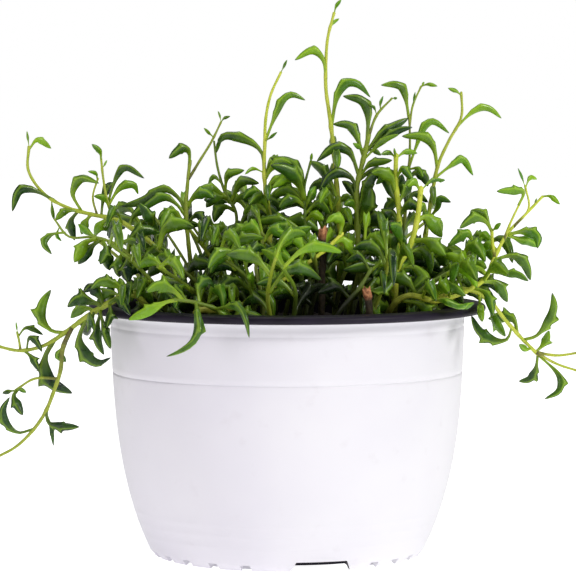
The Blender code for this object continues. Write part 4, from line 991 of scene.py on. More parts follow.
def fin_reach(path):
    """How far a leaf's fins stand out, as a share of its width: most on a low leaf, none on a short one."""
    if path_length(path) < FINNED_LENGTH:
        return 0.0
    vary = (path[-1].x * 700 + path[-1].z * 900) % 1
    rise = min(1.0, abs(path[0].z - SOIL_TOP) / HIGH_LEAF)
    size = LOW_FINS + (HIGH_FINS - LOW_FINS) * rise
    return FIN_REACH * size * (FIN_RANGE[0] + (FIN_RANGE[1] - FIN_RANGE[0]) * vary)


def bend_normal(path):
    """The direction in which a leaf's bend bulges, or upwards for a straight leaf."""
    middle = point_along(path, 0.5) - (path[0] + path[-1]) / 2
    chord = (path[-1] - path[0]).normalized()
    across = middle - chord * middle.dot(chord)
    if across.length > STRAIGHT_BEND * path_length(path):
        return across.normalized()
    up = Vector((0.0, 0.15, 1.0))
    return (up - chord * up.dot(chord)).normalized()


def leaf_section(path, share, outward):
    """A leaf's middle at a share of its length, and the directions along it, outwards and across."""
    ahead = point_along(path, min(1.0, share + SECTION_REACH))
    behind = point_along(path, max(0.0, share - SECTION_REACH))
    along = (ahead - behind).normalized()
    normal = (outward - along * outward.dot(along)).normalized()
    return point_along(path, share), along, normal, along.cross(normal)


def leaf_mesh(path, width, grow=0.0):
    """Points and faces of a three-sided leaf with a pair of fins, closed at its foot and its tip."""
    outward = bend_normal(path)
    points = []
    for share in STATIONS:
        centre, along, normal, across = leaf_section(path, share, outward)
        half = width * MM / 2 * belly(share) + grow
        push = width * MM * fin_reach(path) if share == FIN_STATION else 0.0
        for side in (-1, 0, 1):
            if side == 0:
                points.append(centre - normal * half)
                continue
            shoulder = centre + normal * half * LEAF_SHOULDER + across * side * half * LEAF_THICK
            points.append(shoulder + normal * push + across * side * push * 0.3 + along * push * 0.6)
    points.append(path[-1] + (path[-1] - path[-2]).normalized() * grow)
    faces = [(2, 1, 0)]
    for ring in range(len(STATIONS) - 1):
        for side in range(LEAF_SIDES):
            first = ring * LEAF_SIDES + side
            second = ring * LEAF_SIDES + (side + 1) % LEAF_SIDES
            faces.append((first, second, second + LEAF_SIDES, first + LEAF_SIDES))
    last = (len(STATIONS) - 1) * LEAF_SIDES
    for side in range(LEAF_SIDES):
        faces.append((last + side, last + (side + 1) % LEAF_SIDES, len(points) - 1))
    return points, faces


def box_of(points):
    """The lowest and highest values of some points each way."""
    return [(min(p[i] for p in points), max(p[i] for p in points)) for i in range(3)]


def boxes_meet(one, other):
    """Whether two boxes share some room."""
    return all(a[0] <= b[1] and b[0] <= a[1] for a, b in zip(one, other))


def solid_shape(points, faces):
    """What a clearance test needs of a closed shape: its box and its search tree."""
    return box_of(points), BVHTree.FromPolygons(points, faces)


def tube_shape(path, radii):
    """A four-sided stand-in for a tube, for clearance tests."""
    points = []
    for index, (centre, radius) in enumerate(zip(path, radii)):
        ahead = path[min(index + 1, len(path) - 1)] - path[max(index - 1, 0)]
        side = ahead.orthogonal().normalized() * radius * 1.15
        lift = ahead.normalized().cross(side)
        points += [centre + side, centre + lift, centre - side, centre - lift]
    faces = []
    for ring in range(len(path) - 1):
        for corner in range(4):
            first, second = ring * 4 + corner, ring * 4 + (corner + 1) % 4
            faces.append((first, second, second + 4, first + 4))
    return solid_shape(points, faces)


def leaf_is_clear(path, width, own_name, shapes):
    """Whether a leaf misses the pot, the soil and every piece of the other stems."""
    points, faces = leaf_mesh(path, width, CLEAR)
    middles = [(points[a] + points[b]) / 2 for face in faces for a, b in zip(face, face[1:])]
    if any(in_pot(point, CLEAR) or abs(point.y) > DEPTH_REACH for point in points + middles):
        return False
    box, tree = solid_shape(points, faces)
    outer = None
    for name, kind, other_box, other_tree in shapes:
        if not boxes_meet(box, other_box):
            continue
        if name != own_name:
            if tree.overlap(other_tree):
                return False
        elif kind == "leaf":
            if outer is None:
                skip = 2 * LEAF_SIDES
                high = [tuple(i - skip for i in face) for face in faces if min(face) >= skip]
                outer = BVHTree.FromPolygons(points[skip:], high)
            if outer.overlap(other_tree):
                return False
    return True


def foot_on(paths, pixel):
    """The point of some paths that looks nearest to a pixel of the photograph."""
    goal = looks_at(seen(*pixel, 0))
    fine = [a.lerp(b, step / 8) for path in paths for a, b in zip(path, path[1:]) for step in range(1, 9)]

    def apart(point):
        here = looks_at(point)
        return math.hypot(here[0] - goal[0], here[1] - goal[1])

    return min(fine, key=apart)


def shown_leaf_paths(stem_points, order, pixels, depths=None):
    """A shown leaf's possible paths: its pixels at several depths, nearest choice first."""
    foot = foot_on([stem_points], pixels[0])
    depth = foot.y / MM
    for change in HANGING_DEPTH_CHANGES if depths else ():
        points = [seen(*pixel, depth + change) for pixel, depth in zip(pixels[1:], depths[1:])]
        yield smooth_path([foot, *points], LEAF_SPACING)
    way = 1 if order % 2 else -1
    for lean in LEAF_LEANS:
        points = [foot]
        for index, pixel in enumerate(pixels[1:], 1):
            points.append(seen(*pixel, depth + way * lean * index / (len(pixels) - 1)))
        yield smooth_path(points, LEAF_SPACING)


def new_plant(name, tubes, material="leaf", **more):
    """A stem as its tubes, with no leaves yet."""
    return {"name": name, "material": material, "tubes": tubes, "leaves": [], **more}


def shown_tubes(given, change):
    """A shown stem and its shoots as tubes with their leaves, all moved in depth by the change."""
    depths = [depth + change for depth in given["depths"]]
    main = stem_path(given["root"], photo_points(given["path"], depths), SHOWN_SPACING)
    tubes = [(main, tube_radii(main, given["widths"]), given["leaves"])]
    for widths, pixels, leaves in given["shoots"]:
        foot = foot_on([tube[0] for tube in tubes], pixels[0])
        depth = foot.y / MM
        path = smooth_path([foot, *photo_points(pixels[1:], (depth, depth))], SHOOT_SPACING)
        tubes.append((path, tube_radii(path, widths), leaves))
    return tubes


def settle_shown_stems():
    """Paths for the shown stems, each moved in depth until it misses the pot and the stems before it."""
    settled = []
    taken = []
    for given in SHOWN_STEMS:
        for change in STEM_DEPTH_CHANGES:
            tubes = shown_tubes(given, change)
            if not any(tubes_touch(path, radii, taken) or tube_hits_pot(path, radii)
                       for path, radii, _ in tubes):
                break
        taken += [(path, radii) for path, radii, _ in tubes]
        settled.append(new_plant(given["name"], tubes))
    return settled, taken


def settle_cut_stems(settled, taken):
    """Paths for the dried ends of old stems, whose places are given."""
    for name, root, pixel, depth in CUT_STEMS:
        end = seen(*pixel, depth)
        knee = end.lerp(Vector((root[0] * MM, root[1] * MM, SOIL_TOP)), CUT_STEM_KNEE)
        path = stem_path(root, [knee, end], CUT_STEM_SPACING)
        radii = tube_radii(path, (CUT_STEM_WIDTH, CUT_STEM_WIDTH))
        taken.append((path, radii))
        settled.append(new_plant(name, [(path, radii, [])], "cut"))


def out_and_sideways(turn):
    """The directions outwards from the pot's axis and sideways, at an angle."""
    outward = Vector((math.cos(turn), math.sin(turn), 0.0))
    return outward, Vector((-outward.y, outward.x, 0.0))


def bush_path(number, draw):
    """A stem of the bush: it rises from its place in a sunflower pattern and leans outwards."""
    angle = number * GOLDEN_ANGLE + draw.uniform(-BUSH_TURN, BUSH_TURN)
    radius = BUSH_RADIUS * math.sqrt((number + 0.6) / BUSH_STEMS) * draw.uniform(*BUSH_SHIFT)
    outward, sideways = out_and_sideways(angle)
    edge = radius / BUSH_RADIUS
    rise = (BUSH_RISE[0] - BUSH_RISE[1] * edge) * draw.uniform(*BUSH_RISE_RANGE) * MM
    lean = (BUSH_LEAN[0] + BUSH_LEAN[1] * edge) * draw.uniform(*BUSH_LEAN_RANGE) * MM
    sway = draw.uniform(-BUSH_SWAY, BUSH_SWAY) * MM
    root = outward * radius
    base = Vector((root.x, root.y, SOIL_TOP))
    middle = base + Vector((0, 0, rise * 0.55)) + outward * lean * 0.3 - sideways * sway * 0.3
    tip = base + Vector((0, 0, rise)) + outward * lean + sideways * sway
    return stem_path((root.x / MM, root.y / MM), [middle, tip], BUSH_SPACING)


def trailing_path(angle, draw):
    """A stem of the back or a side that arches over the lip and hangs beside the wall."""
    turn = math.radians(angle + draw.uniform(-TRAILING_TURN, TRAILING_TURN))
    outward, sideways = out_and_sideways(turn)
    root = outward * draw.uniform(*TRAILING_ROOT) * MM
    sway = draw.uniform(-TRAILING_SWAY, TRAILING_SWAY) * MM
    reach = draw.uniform(*TRAILING_REACH) * MM
    drop = draw.uniform(*TRAILING_DROP) * MM
    points = [
        outward * TRAILING_CREST[0] + Vector((0, 0, POT_HEIGHT + TRAILING_CREST[1])),
        outward * reach + sideways * sway * 0.5 + Vector((0, 0, POT_HEIGHT)),
        outward * (reach - 1 * MM) + sideways * sway + Vector((0, 0, POT_HEIGHT - drop)),
    ]
    return stem_path((root.x / MM, root.y / MM), points, TRAILING_SPACING)


def settle_bush_stems(settled, taken):
    """The stems that the rule adds, each drawn again until it misses the pot and the stems before it."""
    makers = [(f"stem_trailing_{n + 1}", trailing_path, angle, TRAILING_WIDTHS, TRAILING_LEAVES)
              for n, angle in enumerate(TRAILING_ANGLES)]
    makers += [(f"stem_bush_{n + 1:02d}", bush_path, n, BUSH_WIDTHS, BUSH_LEAVES)
               for n in range(BUSH_STEMS)]
    for seed, (name, maker, key, widths, count) in enumerate(makers):
        for attempt in range(STEM_ATTEMPTS):
            path = maker(key, random.Random(BUSH_SEED * seed + attempt))
            radii = tube_radii(path, widths)
            outside = max(abs(point.y) for point in path) > DEPTH_REACH - widths[0] * MM
            if outside or (attempt < GAP_ATTEMPTS and crosses(path, OPEN_GAPS)):
                continue
            if not tubes_touch(path, radii, taken) and not tube_hits_pot(path, radii):
                taken.append((path, radii))
                settled.append(new_plant(name, [(path, radii, [])], drawn=count, seed=seed))
                break


def drawn_leaf_path(path, share, turn, draw):
    """A leaf of the bush: it leaves its stem upwards and bends over, or hooks up from a hanging stem."""
    foot = point_along(path, share)
    along = (point_along(path, min(1.0, share + 0.05)) - point_along(path, share - 0.05)).normalized()
    side = along.orthogonal().normalized()
    side.rotate(Matrix.Rotation(turn, 3, along))
    length = draw.uniform(*DRAWN_LENGTHS) * MM
    up = Vector((0.0, 0.0, 1.0))
    if along.z < -0.3:
        start = (side + up * draw.uniform(-0.6, 0.3)).normalized()
        finish = (side * draw.uniform(0.2, 0.9) + up * draw.uniform(-0.3, 1.2)).normalized()
    else:
        start = (side * draw.uniform(0.6, 1.0) + up * draw.uniform(0.5, 1.0)).normalized()
        finish = (side - up * draw.uniform(0.1, 1.0)).normalized()
    first = foot + start * length * DRAWN_PARTS[0]
    second = first + (start + finish).normalized() * length * DRAWN_PARTS[1]
    return smooth_path([foot, first, second, second + finish * length * DRAWN_PARTS[2]], LEAF_SPACING)


def keep_leaf(plant, path, width, shapes):
    """Adds a leaf to its stem, and to the shapes that later leaves have to miss."""
    plant["leaves"].append((path, width))
    shapes.append((plant["name"], "leaf", *solid_shape(*leaf_mesh(path, width))))


def keep_first_clear(plant, paths, width, shapes):
    """Keeps the first of a leaf's possible paths that misses everything else."""
    for path in paths:
        if leaf_is_clear(path, width, plant["name"], shapes):
            keep_leaf(plant, path, width, shapes)
            return


def draw_leaf(plant, number, share, draw, shapes, attempts, step, fits):
    """Draws a leaf at a share of its stem's length until one fits and misses everything else."""
    for attempt in range(attempts):
        turn = number * GOLDEN_ANGLE + attempt * step + draw.uniform(-LEAF_JITTER, LEAF_JITTER)
        leaf = drawn_leaf_path(plant["tubes"][0][0], share, turn, draw)
        width = draw.uniform(*DRAWN_WIDTHS)
        if fits(leaf) and leaf_is_clear(leaf, width, plant["name"], shapes):
            keep_leaf(plant, leaf, width, shapes)
            return


def settle_leaves(settled):
    """Every leaf's path and width, shown leaves first, each kept only where it misses all the others."""
    shapes = []
    for plant in settled:
        for path, radii, _ in plant["tubes"]:
            shapes.append((plant["name"], "tube", *tube_shape(path, radii)))
    for plant in settled:
        for path, _, leaves in plant["tubes"]:
            for order, (width, *way) in enumerate(leaves):
                keep_first_clear(plant, shown_leaf_paths(path, order, *way), width, shapes)
    for plant in settled:
        if "drawn" in plant:
            settle_drawn_leaves(plant, shapes)
    return shapes


def settle_drawn_leaves(plant, shapes):
    """The leaves of the CAD model on a stem that the rule adds."""
    draw = random.Random(LEAF_SEED + plant["seed"])
    first = TRAILING_FIRST_LEAF if "trailing" in plant["name"] else BUSH_FIRST_LEAF
    for number in range(plant["drawn"]):
        share = first + (LAST_LEAF - first) * number / (plant["drawn"] - 1)
        draw_leaf(plant, number, share, draw, shapes, LEAF_ATTEMPTS, LEAF_TURN,
                  lambda leaf: not crosses(leaf, OPEN_GAPS))


def add_object(name, data, collection=None):
    """A new object, in the scene's own collection unless another is given."""
    obj = bpy.data.objects.new(name, data)
    (collection or bpy.context.scene.collection).objects.link(obj)
    return obj


def add_cutter(name, shape, cutters):
    """A closed shape to cut with."""
    mesh = bpy.data.meshes.new(name)
    shape.to_mesh(mesh)
    shape.free()
    return add_object(name, mesh, cutters)


def subtract(obj, cutters):
    """Cuts a collection's shapes out of an object."""
    cut = obj.modifiers.new("cut", "BOOLEAN")
    cut.operation = "DIFFERENCE"
    cut.operand_type = "COLLECTION"
    cut.collection = cutters
    graph = bpy.context.evaluated_depsgraph_get()
    mesh = bpy.data.meshes.new_from_object(obj.evaluated_get(graph))
    obj.modifiers.clear()
    obj.data = mesh


def add_notch(cutters, angle, size, slant):
    """A cutter through the foot ring, wider below by the slant."""
    width, height = size
    shape = bmesh.new()
    bmesh.ops.create_cube(shape, size=1)
    for corner in shape.verts:
        half = width / 2 + (slant if corner.co.z < 0 else 0)
        corner.co.x *= 2 * half
        corner.co.y = -FOOT_RADIUS + corner.co.y * NOTCH_DEPTH
        corner.co.z = height if corner.co.z > 0 else -2 * MM
    add_cutter("notch", shape, cutters).rotation_euler.z = math.radians(angle)


def add_drain_cutter(cutters, angle):
    """A cutter for a round drain hole."""
    depth = 2 * BASE_RISE
    shape = bmesh.new()
    bmesh.ops.create_cone(shape, cap_ends=True, segments=DRAIN_SIDES, radius1=DRAIN_RADIUS,
                          radius2=DRAIN_RADIUS, depth=depth)
    hole = add_cutter("drain", shape, cutters)
    hole.location = (DRAIN_CIRCLE * math.cos(angle), DRAIN_CIRCLE * math.sin(angle), depth / 2)


def frames(path):
    """A tangent and a side direction at each point of a path, turning as little as possible."""
    result = []
    side = None
    for index, point in enumerate(path):
        ahead = path[min(index + 1, len(path) - 1)] - path[max(index - 1, 0)]
        along = ahead.normalized()
        side = along.orthogonal() if side is None else side - along * side.dot(along)
        side = side.normalized()
        result.append((point, along, side))
    return result


class Builder:
    """Collects points, faces and per-point values for one mesh."""

    def __init__(self):
        self.points = []
        self.faces = []
        self.slots = []
        self.values = []

    def ring_surface(self, rings, tip, slot):
        """Skins rings of (point, values), closing the first with a cap and the last with a tip."""
        count = len(rings[0])
        start = len(self.points)
        for ring in rings:
            for point, values in ring:
                self.points.append(point)
                self.values.append(values)
        last = start + (len(rings) - 1) * count
        self.faces.append(tuple(start + corner for corner in reversed(range(count))))
        for ring in range(len(rings) - 1):
            for corner in range(count):
                first = start + ring * count + corner
                second = start + ring * count + (corner + 1) % count
                self.faces.append((first, second, second + count, first + count))
        point, values = tip
        self.points.append(point)
        self.values.append(values)
        for corner in range(count):
            self.faces.append((last + corner, last + (corner + 1) % count, len(self.points) - 1))
        self.slots += [slot] * (1 + (len(rings) - 1) * count + count)

    def mesh(self, name, materials):
        mesh = bpy.data.meshes.new(name)
        mesh.from_pydata(self.points, [], self.faces)
        for material in materials:
            mesh.materials.append(material)
        mesh.polygons.foreach_set("material_index", self.slots)
        mesh.polygons.foreach_set("use_smooth", [True] * len(self.faces))
        for position, label in enumerate(("along", "tint", "young", "edge")):
            attribute = mesh.attributes.new(label, "FLOAT", "POINT")
            attribute.data.foreach_set("value", [values[position] for values in self.values])
        # the shade attribute: how much painted shade each point gets, from shade_at
        attribute = mesh.attributes.new("shade", "FLOAT", "POINT")
        attribute.data.foreach_set("value", [shade_at(point) for point in self.points])
        mesh.update()
        return mesh


def shade_at(point):
    """How much painted shade a leaf or stem gets at a point: most in the hollow and just over the soil."""
    low = between(1 - (point[2] - SOIL_TOP) / SHADE_HEIGHT)
    inside = between((SHADE_RADIUS - math.hypot(point[0], point[1])) / SHADE_FADE)
    away = math.sqrt(sum(((point[i] - HOLLOW[i]) / HOLLOW_SIZE[i]) ** 2 for i in range(3)))
    hollow = between((HOLLOW_EDGE - away) / HOLLOW_FADE)
    return max(hollow, SHADE_LOW * inside * low)


def fine_taper(share):
    """How a fine leaf narrows to its point."""
    past = max(0.0, share - TAPER_START) / (1 - TAPER_START)
    return 1 - TAPER_END * past ** TAPER_POWER


def fin_bump(share, station):
    """How far a fin stands out at a share of the leaf's length: a slow rise and a sharp fall."""
    gap = (share - station) / (FIN_HALF if share < station else FIN_HALF * FIN_FALL)
    return max(0.0, 1 - abs(gap)) ** FIN_POWER


def leaf_fins(path, draw):
    """The pairs of fins of a fine leaf: place along it, reach, and angle round its section."""
    reach = FIN_GROW * fin_reach(path)
    fins = [(FIN_STATION, reach, FIN_ANGLE)] if reach else []
    for station, chance, sizes, angle in MORE_FINS:
        if path_length(path) > SECOND_FIN_LENGTH and draw.random() < chance:
            fins.append((station, reach * draw.uniform(*sizes), angle))
    return fins


def add_leaf(builder, path, width, tint, young, draw):
    """A fine leaf on the CAD leaf's path, with its fins."""
    outward = bend_normal(path)
    twist = draw.uniform(-LEAF_TWIST, LEAF_TWIST)
    fins = leaf_fins(path, draw)
    wave = draw.uniform(0, 6.28)
    rings = []
    for share in FINE_STATIONS:
        centre, along, normal, across = leaf_section(path, share, outward)
        half = width * MM / 2 * belly(share) * fine_taper(share)
        turn = twist * share
        ring = []
        for corner in range(LEAF_ROUND):
            angle = 2 * math.pi * corner / LEAF_ROUND
            rise = math.cos(angle) * FINE_RISE - FINE_SINK * (1 - share)
            spread = math.sin(angle) * abs(math.sin(angle)) ** KEEL * FINE_THICK
            fold = min(angle, 2 * math.pi - angle)
            # edge marks the ridges, and below the fins, for the pale rim colour, which is partly the leaf's
            # own pale edge and partly a painted highlight
            edge = math.exp(-((fold - RIDGE_ANGLE) / RIDGE_SPREAD) ** 2)
            groove = 1 - GROOVE_DEPTH * math.exp(-(fold / GROOVE_SPREAD) ** 2) + RIDGE_RISE * edge
            lump = 1 + LEAF_LUMP * math.sin(share * LEAF_WAVES + wave + 2 * angle)
            rise, spread = (rise * math.cos(turn) - spread * math.sin(turn),
                            rise * math.sin(turn) + spread * math.cos(turn))
            point = centre + (normal * rise * groove + across * spread) * half * lump
            for station, reach, place in fins:
                bump = fin_bump(share, station) * math.exp(-((fold - place) / FIN_SPREAD) ** 2)
                push = width * MM * reach * bump
                side = 1 if angle < math.pi else -1
                way = normal if place < math.pi / 2 else -normal
                point += way * push + across * side * push * FIN_SPLAY + along * push * FIN_SWEEP
                edge = max(edge, bump)
            ring.append((point, (share, tint, young, edge)))
        rings.append(ring)
    tip = path[-1] + (path[-1] - path[-2]).normalized() * TIP_LENGTH
    builder.ring_surface(rings, (tip, (1.0, tint, young, 1.0)), 0)


def circle(radius, steps):
    """The places across of points on a circle."""
    turns = [2 * math.pi * step / steps for step in range(steps)]
    return [(radius * math.cos(turn), radius * math.sin(turn)) for turn in turns]


def add_stem(builder, path, radii, nodes, tint, young):
    """A fine stem on the CAD stem's path, swollen a little where its leaves start."""
    fine = smooth_path(path, STEM_SPACING)
    rings = []
    for index, (point, along, side) in enumerate(frames(fine)):
        share = index / (len(fine) - 1)
        radius = radii[0] + (radii[-1] - radii[0]) * share
        near = min([(point - node).length for node in nodes] or [1.0])
        radius *= 1 + NODE_SWELL * math.exp(-(near / NODE_LENGTH) ** 2)
        radius *= 1 + STEM_LUMP * math.sin(index * STEM_WAVE + tint * STEM_SHIFT)
        lift = along.cross(side)
        rings.append([(point + (side * across + lift * up) * radius, (share, tint, young, 0.0))
                      for across, up in circle(1, STEM_ROUND)])
    tip = fine[-1] + (fine[-1] - fine[-2]).normalized() * radii[-1] * STEM_TIP
    builder.ring_surface(rings, (tip, (1.0, tint, young, 0.0)), 1)


def inside_room(path, room):
    """Whether a path keeps within the CAD model's box."""
    low, high = room
    return all(low[i] + ROOM_MARGIN < p[i] < high[i] - ROOM_MARGIN for p in path for i in range(3))


def fills_hollow(path):
    """Whether a path runs into the hollow, or in front of it."""
    for point in path:
        depth = min(0.0, (point.y - HOLLOW.y) / HOLLOW_SIZE.y + HOLLOW_FRONT) if point.y > HOLLOW.y else 0.0
        across = (point.x - HOLLOW.x) / HOLLOW_SIZE.x
        up = (point.z - HOLLOW.z) / HOLLOW_SIZE.z
        if point.y < HOLLOW.y + HOLLOW_SIZE.y and math.hypot(across, up, depth) < 1:
            return True
    return False


def grow_leaves(plants, shapes):
    """Makes each leaf as much broader as its neighbours leave room for."""
    for plant in plants:
        own = [shape for shape in shapes if shape[0] == plant["name"] and shape[1] == "leaf"]
        for number, (path, width) in enumerate(plant["leaves"]):
            others = [shape for shape in shapes if shape is not own[number]]
            for growth in LEAF_GROWTHS:
                if leaf_is_clear(path, width * growth, plant["name"], others):
                    plant["leaves"][number] = (path, width * growth)
                    break


def front_points(settled):
    """Points of the stems and leaves that lie in front of the bush."""
    paths = []
    for plant in settled:
        if plant["name"] not in FRONT_STEMS:
            continue
        if plant["material"] == "cut":
            paths.append([plant["tubes"][0][0][-1]])
            continue
        paths += [smooth_path(path, FRONT_SPACING) for path, _, _ in plant["tubes"]]
        paths += [path for path, _ in plant["leaves"]]
    return [looks_at(point) for path in paths for point in path]


def hides_front(path, front):
    """Whether a path passes in front of a stem that the photograph shows in front."""
    for across, down, depth in (looks_at(point) for point in path):
        for column, row, behind in front:
            if depth < behind and abs(across - column) < FRONT_MARGIN and abs(down - row) < FRONT_MARGIN:
                return True
    return False


def settle_more_shown_leaves(settled, shapes):
    """More of the leaves that the photograph shows one by one."""
    for plant in settled:
        for order, (width, pixels) in enumerate(MORE_SHOWN_LEAVES.get(plant["name"], ())):
            paths = shown_leaf_paths(plant["tubes"][0][0], order, pixels)
            keep_first_clear(plant, paths, width, shapes)


def add_extra_leaves(plant, shares, draw, shapes, room, front):
    """Leaves of the looks at shares of a stem's length, kept out of the open places and the hollow."""
    def fits(leaf):
        if crosses(leaf, OPEN_GAPS + LOOKS_GAPS) or fills_hollow(leaf) or not inside_room(leaf, room):
            return False
        return plant["name"] in FRONT_STEMS or not hides_front(leaf, front)

    for place, share in enumerate(shares):
        draw_leaf(plant, place, share, draw, shapes, EXTRA_ATTEMPTS, EXTRA_TURN, fits)


def settle_extra_leaves(settled, shapes, room, front):
    """More leaves on every stem of the CAD model, where they miss everything else."""
    for number, plant in enumerate(settled):
        if plant["material"] != "leaf":
            continue
        draw = random.Random(EXTRA_SEED + number)
        count, low, high = EXTRA_LEAVES if "drawn" in plant else EXTRA_LOW_LEAVES
        shares = (low + (high - low) * (place + draw.uniform(*EXTRA_SHIFT)) / count for place in range(count))
        add_extra_leaves(plant, shares, draw, shapes, room, front)


def sprig_path(number, taken, room, front):
    """A sprig's path and radii that miss everything else, or nothing where there is no room."""
    for attempt in range(SPRIG_ATTEMPTS):
        draw = random.Random(SPRIG_SEED * number + attempt)
        path = bush_path(number * BUSH_STEMS / SPRIGS + SPRIG_SHIFT, draw)
        radii = tube_radii(path, SPRIG_WIDTHS)
        if fills_hollow(path) or hides_front(path, front) or not inside_room(path, room):
            continue
        if not tubes_touch(path, radii, taken) and not tube_hits_pot(path, radii):
            return path, radii
    return None


def settle_sprigs(taken, shapes, room, front):
    """More leafy stems between those of the CAD model."""
    sprigs = []
    for number in range(SPRIGS):
        found = sprig_path(number, taken, room, front)
        if not found:
            continue
        sprig = new_plant(f"sprig_{number + 1:02d}", [(*found, [])])
        sprigs.append(sprig)
        taken.append(found)
        shapes.append((sprig["name"], "tube", *tube_shape(*found)))
        draw = random.Random(SPRIG_LEAF_SEED + number)
        shares = (SPRIG_FIRST_LEAF + SPRIG_LEAF_SPAN * place / (SPRIG_LEAVES - 1)
                  for place in range(SPRIG_LEAVES))
        add_extra_leaves(sprig, shares, draw, shapes, room, front)
    return sprigs


def plant_piece(plant, number, materials):
    """One stem with its shoots and leaves, as one piece."""
    draw = random.Random(LOOKS_SEED + number)
    builder = Builder()
    yellow = YELLOW_STEMS.get(plant["name"], draw.uniform(*YELLOW_RANGE))
    # how bright the stem's leaves are; on the left stems and the front drape this dulling is painted shade
    bright = BRIGHT_AND_SHADED_LEAVES.get(plant["name"], draw.uniform(*BRIGHT_RANGE))
    feet = [leaf[0] for leaf, _ in plant["leaves"]]
    for path, radii, _ in plant["tubes"]:
        nodes = [foot for foot in feet if min((foot - p).length for p in path) < NODE_REACH]
        add_stem(builder, path, radii, nodes, draw.random(), yellow)
    top = max(p.z for path, _, _ in plant["tubes"] for p in path)
    for path, width in plant["leaves"]:
        height = (path[0].z - SOIL_TOP) / max(top - SOIL_TOP, LOW_PLANT)
        young = YOUNG_BRIGHT * bright + YOUNG_RISE * max(0.0, height - YOUNG_HEIGHT)
        young += draw.uniform(*YOUNG_RANGE)
        young += YOUNG_SHORT if path_length(path) < FINNED_LENGTH else 0.0
        if draw.random() < FRESH_SHARE:
            young += draw.uniform(*FRESH_RANGE) * (1.0 if height > 0.5 else FRESH_LOW)
        add_leaf(builder, path, width, draw.random(), between(young), draw)
    piece = add_object(plant["name"] + "_looks", builder.mesh(plant["name"], materials))
    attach(piece, "root")
    return piece


class Nodes:
    """Short calls for building a material's nodes."""

    def __init__(self, name):
        self.material = bpy.data.materials.new(name)
        self.material.use_nodes = True
        self.tree = self.material.node_tree
        self.shader = self.tree.nodes["Principled BSDF"]

    def add(self, kind, **inputs):
        node = self.tree.nodes.new(kind)
        for name, value in inputs.items():
            self.put(node.inputs[name.replace("_", " ")], value)
        return node

    def put(self, socket, value):
        if isinstance(value, bpy.types.NodeSocket):
            self.tree.links.new(value, socket)
        else:
            socket.default_value = value

    def attribute(self, name):
        node = self.tree.nodes.new("ShaderNodeAttribute")
        node.attribute_name = name
        return node.outputs["Fac"]

    def noise(self, scale, detail=4.0, vector=None):
        node = self.add("ShaderNodeTexNoise", Scale=scale, Detail=detail)
        self.put(node.inputs["Vector"], vector or self.add("ShaderNodeTexCoord").outputs["Object"])
        return node.outputs["Fac"]

    def span(self, value, low, high, to_low=0.0, to_high=1.0):
        node = self.add("ShaderNodeMapRange")
        for name, number in (("Value", value), ("From Min", low), ("From Max", high),
                             ("To Min", to_low), ("To Max", to_high)):
            self.put(node.inputs[name], number)
        return node.outputs["Result"]

    def math(self, operation, first, second):
        node = self.tree.nodes.new("ShaderNodeMath")
        node.operation = operation
        self.put(node.inputs[0], first)
        self.put(node.inputs[1], second)
        return node.outputs[0]

    def mix(self, factor, first, second):
        node = self.tree.nodes.new("ShaderNodeMix")
        node.data_type = "RGBA"
        self.put(node.inputs[0], factor)
        for socket, value in ((node.inputs[6], first), (node.inputs[7], second)):
            self.put(socket, (*value, 1) if isinstance(value, tuple) else value)
        return node.outputs[2]

    def bump(self, height, distance, strength=1.0):
        node = self.add("ShaderNodeBump", Strength=strength, Distance=distance, Height=height)
        self.put(self.shader.inputs["Normal"], node.outputs["Normal"])

    def set(self, **inputs):
        for name, value in inputs.items():
            self.put(self.shader.inputs[name.replace("_", " ")], value)


def leaf_material():
    """Waxy green: darker and bluer when old, yellow-green when young, with pale rims that are partly a
    painted highlight along the ridges, a dark tip, and painted shade in the hollow and low over the soil.
    """
    n = Nodes("leaf")
    along, tint, young = (n.attribute(name) for name in ("along", "tint", "young"))
    edge, shade = (n.attribute(name) for name in ("edge", "shade"))
    patch = n.noise(180, 3)
    streak = n.noise(900, 2)
    old = n.mix(n.span(tint, 0, 1), (0.004, 0.019, 0.008), (0.014, 0.058, 0.006))
    fresh = n.mix(n.span(tint, 0, 1), (0.1, 0.3, 0.008), (0.27, 0.5, 0.01))
    age = n.math("ADD", n.span(young, 0, 0.9), n.span(patch, 0.35, 0.7, -0.1, 0.22))
    colour = n.mix(n.span(age, 0, 1), old, fresh)
    stalk = n.math("MULTIPLY", n.span(along, 0.1, 0.5, 1.0, 0.0), n.span(young, 0.0, 0.5, 0.3, 0.95))
    colour = n.mix(stalk, colour, (0.33, 0.47, 0.02))
    colour = n.mix(n.span(streak, 0.5, 0.75, 0.0, 0.2), colour, (0.1, 0.2, 0.07))
    # pale yellow-green along the ridges and fins: partly the leaf's own pale edge, partly a painted highlight
    rim_and_highlight = n.math("MULTIPLY", n.span(edge, 0.35, 1.0), n.span(young, 0.0, 0.5, 0.42, 0.7))
    colour = n.mix(rim_and_highlight, colour, (0.36, 0.58, 0.04))
    colour = n.mix(n.span(along, 0.965, 0.995, 0.0, 0.8), colour, (0.03, 0.022, 0.022))
    # painted shade: leaves in the hollow and low over the soil are darkened towards black
    colour = n.mix(n.span(shade, 0, 1, 0.0, 0.93), colour, (0.002, 0.004, 0.002))
    n.set(Base_Color=colour, Roughness=n.span(patch, 0.3, 0.7, 0.2, 0.38))
    n.shader.inputs["Specular IOR Level"].default_value = 0.36
    n.shader.inputs["Subsurface Weight"].default_value = 0.05
    n.shader.inputs["Subsurface Radius"].default_value = (0.6, 1.0, 0.2)
    n.shader.inputs["Subsurface Scale"].default_value = 1.5 * MM
    n.bump(streak, 0.15 * MM, 0.5)
    return n.material


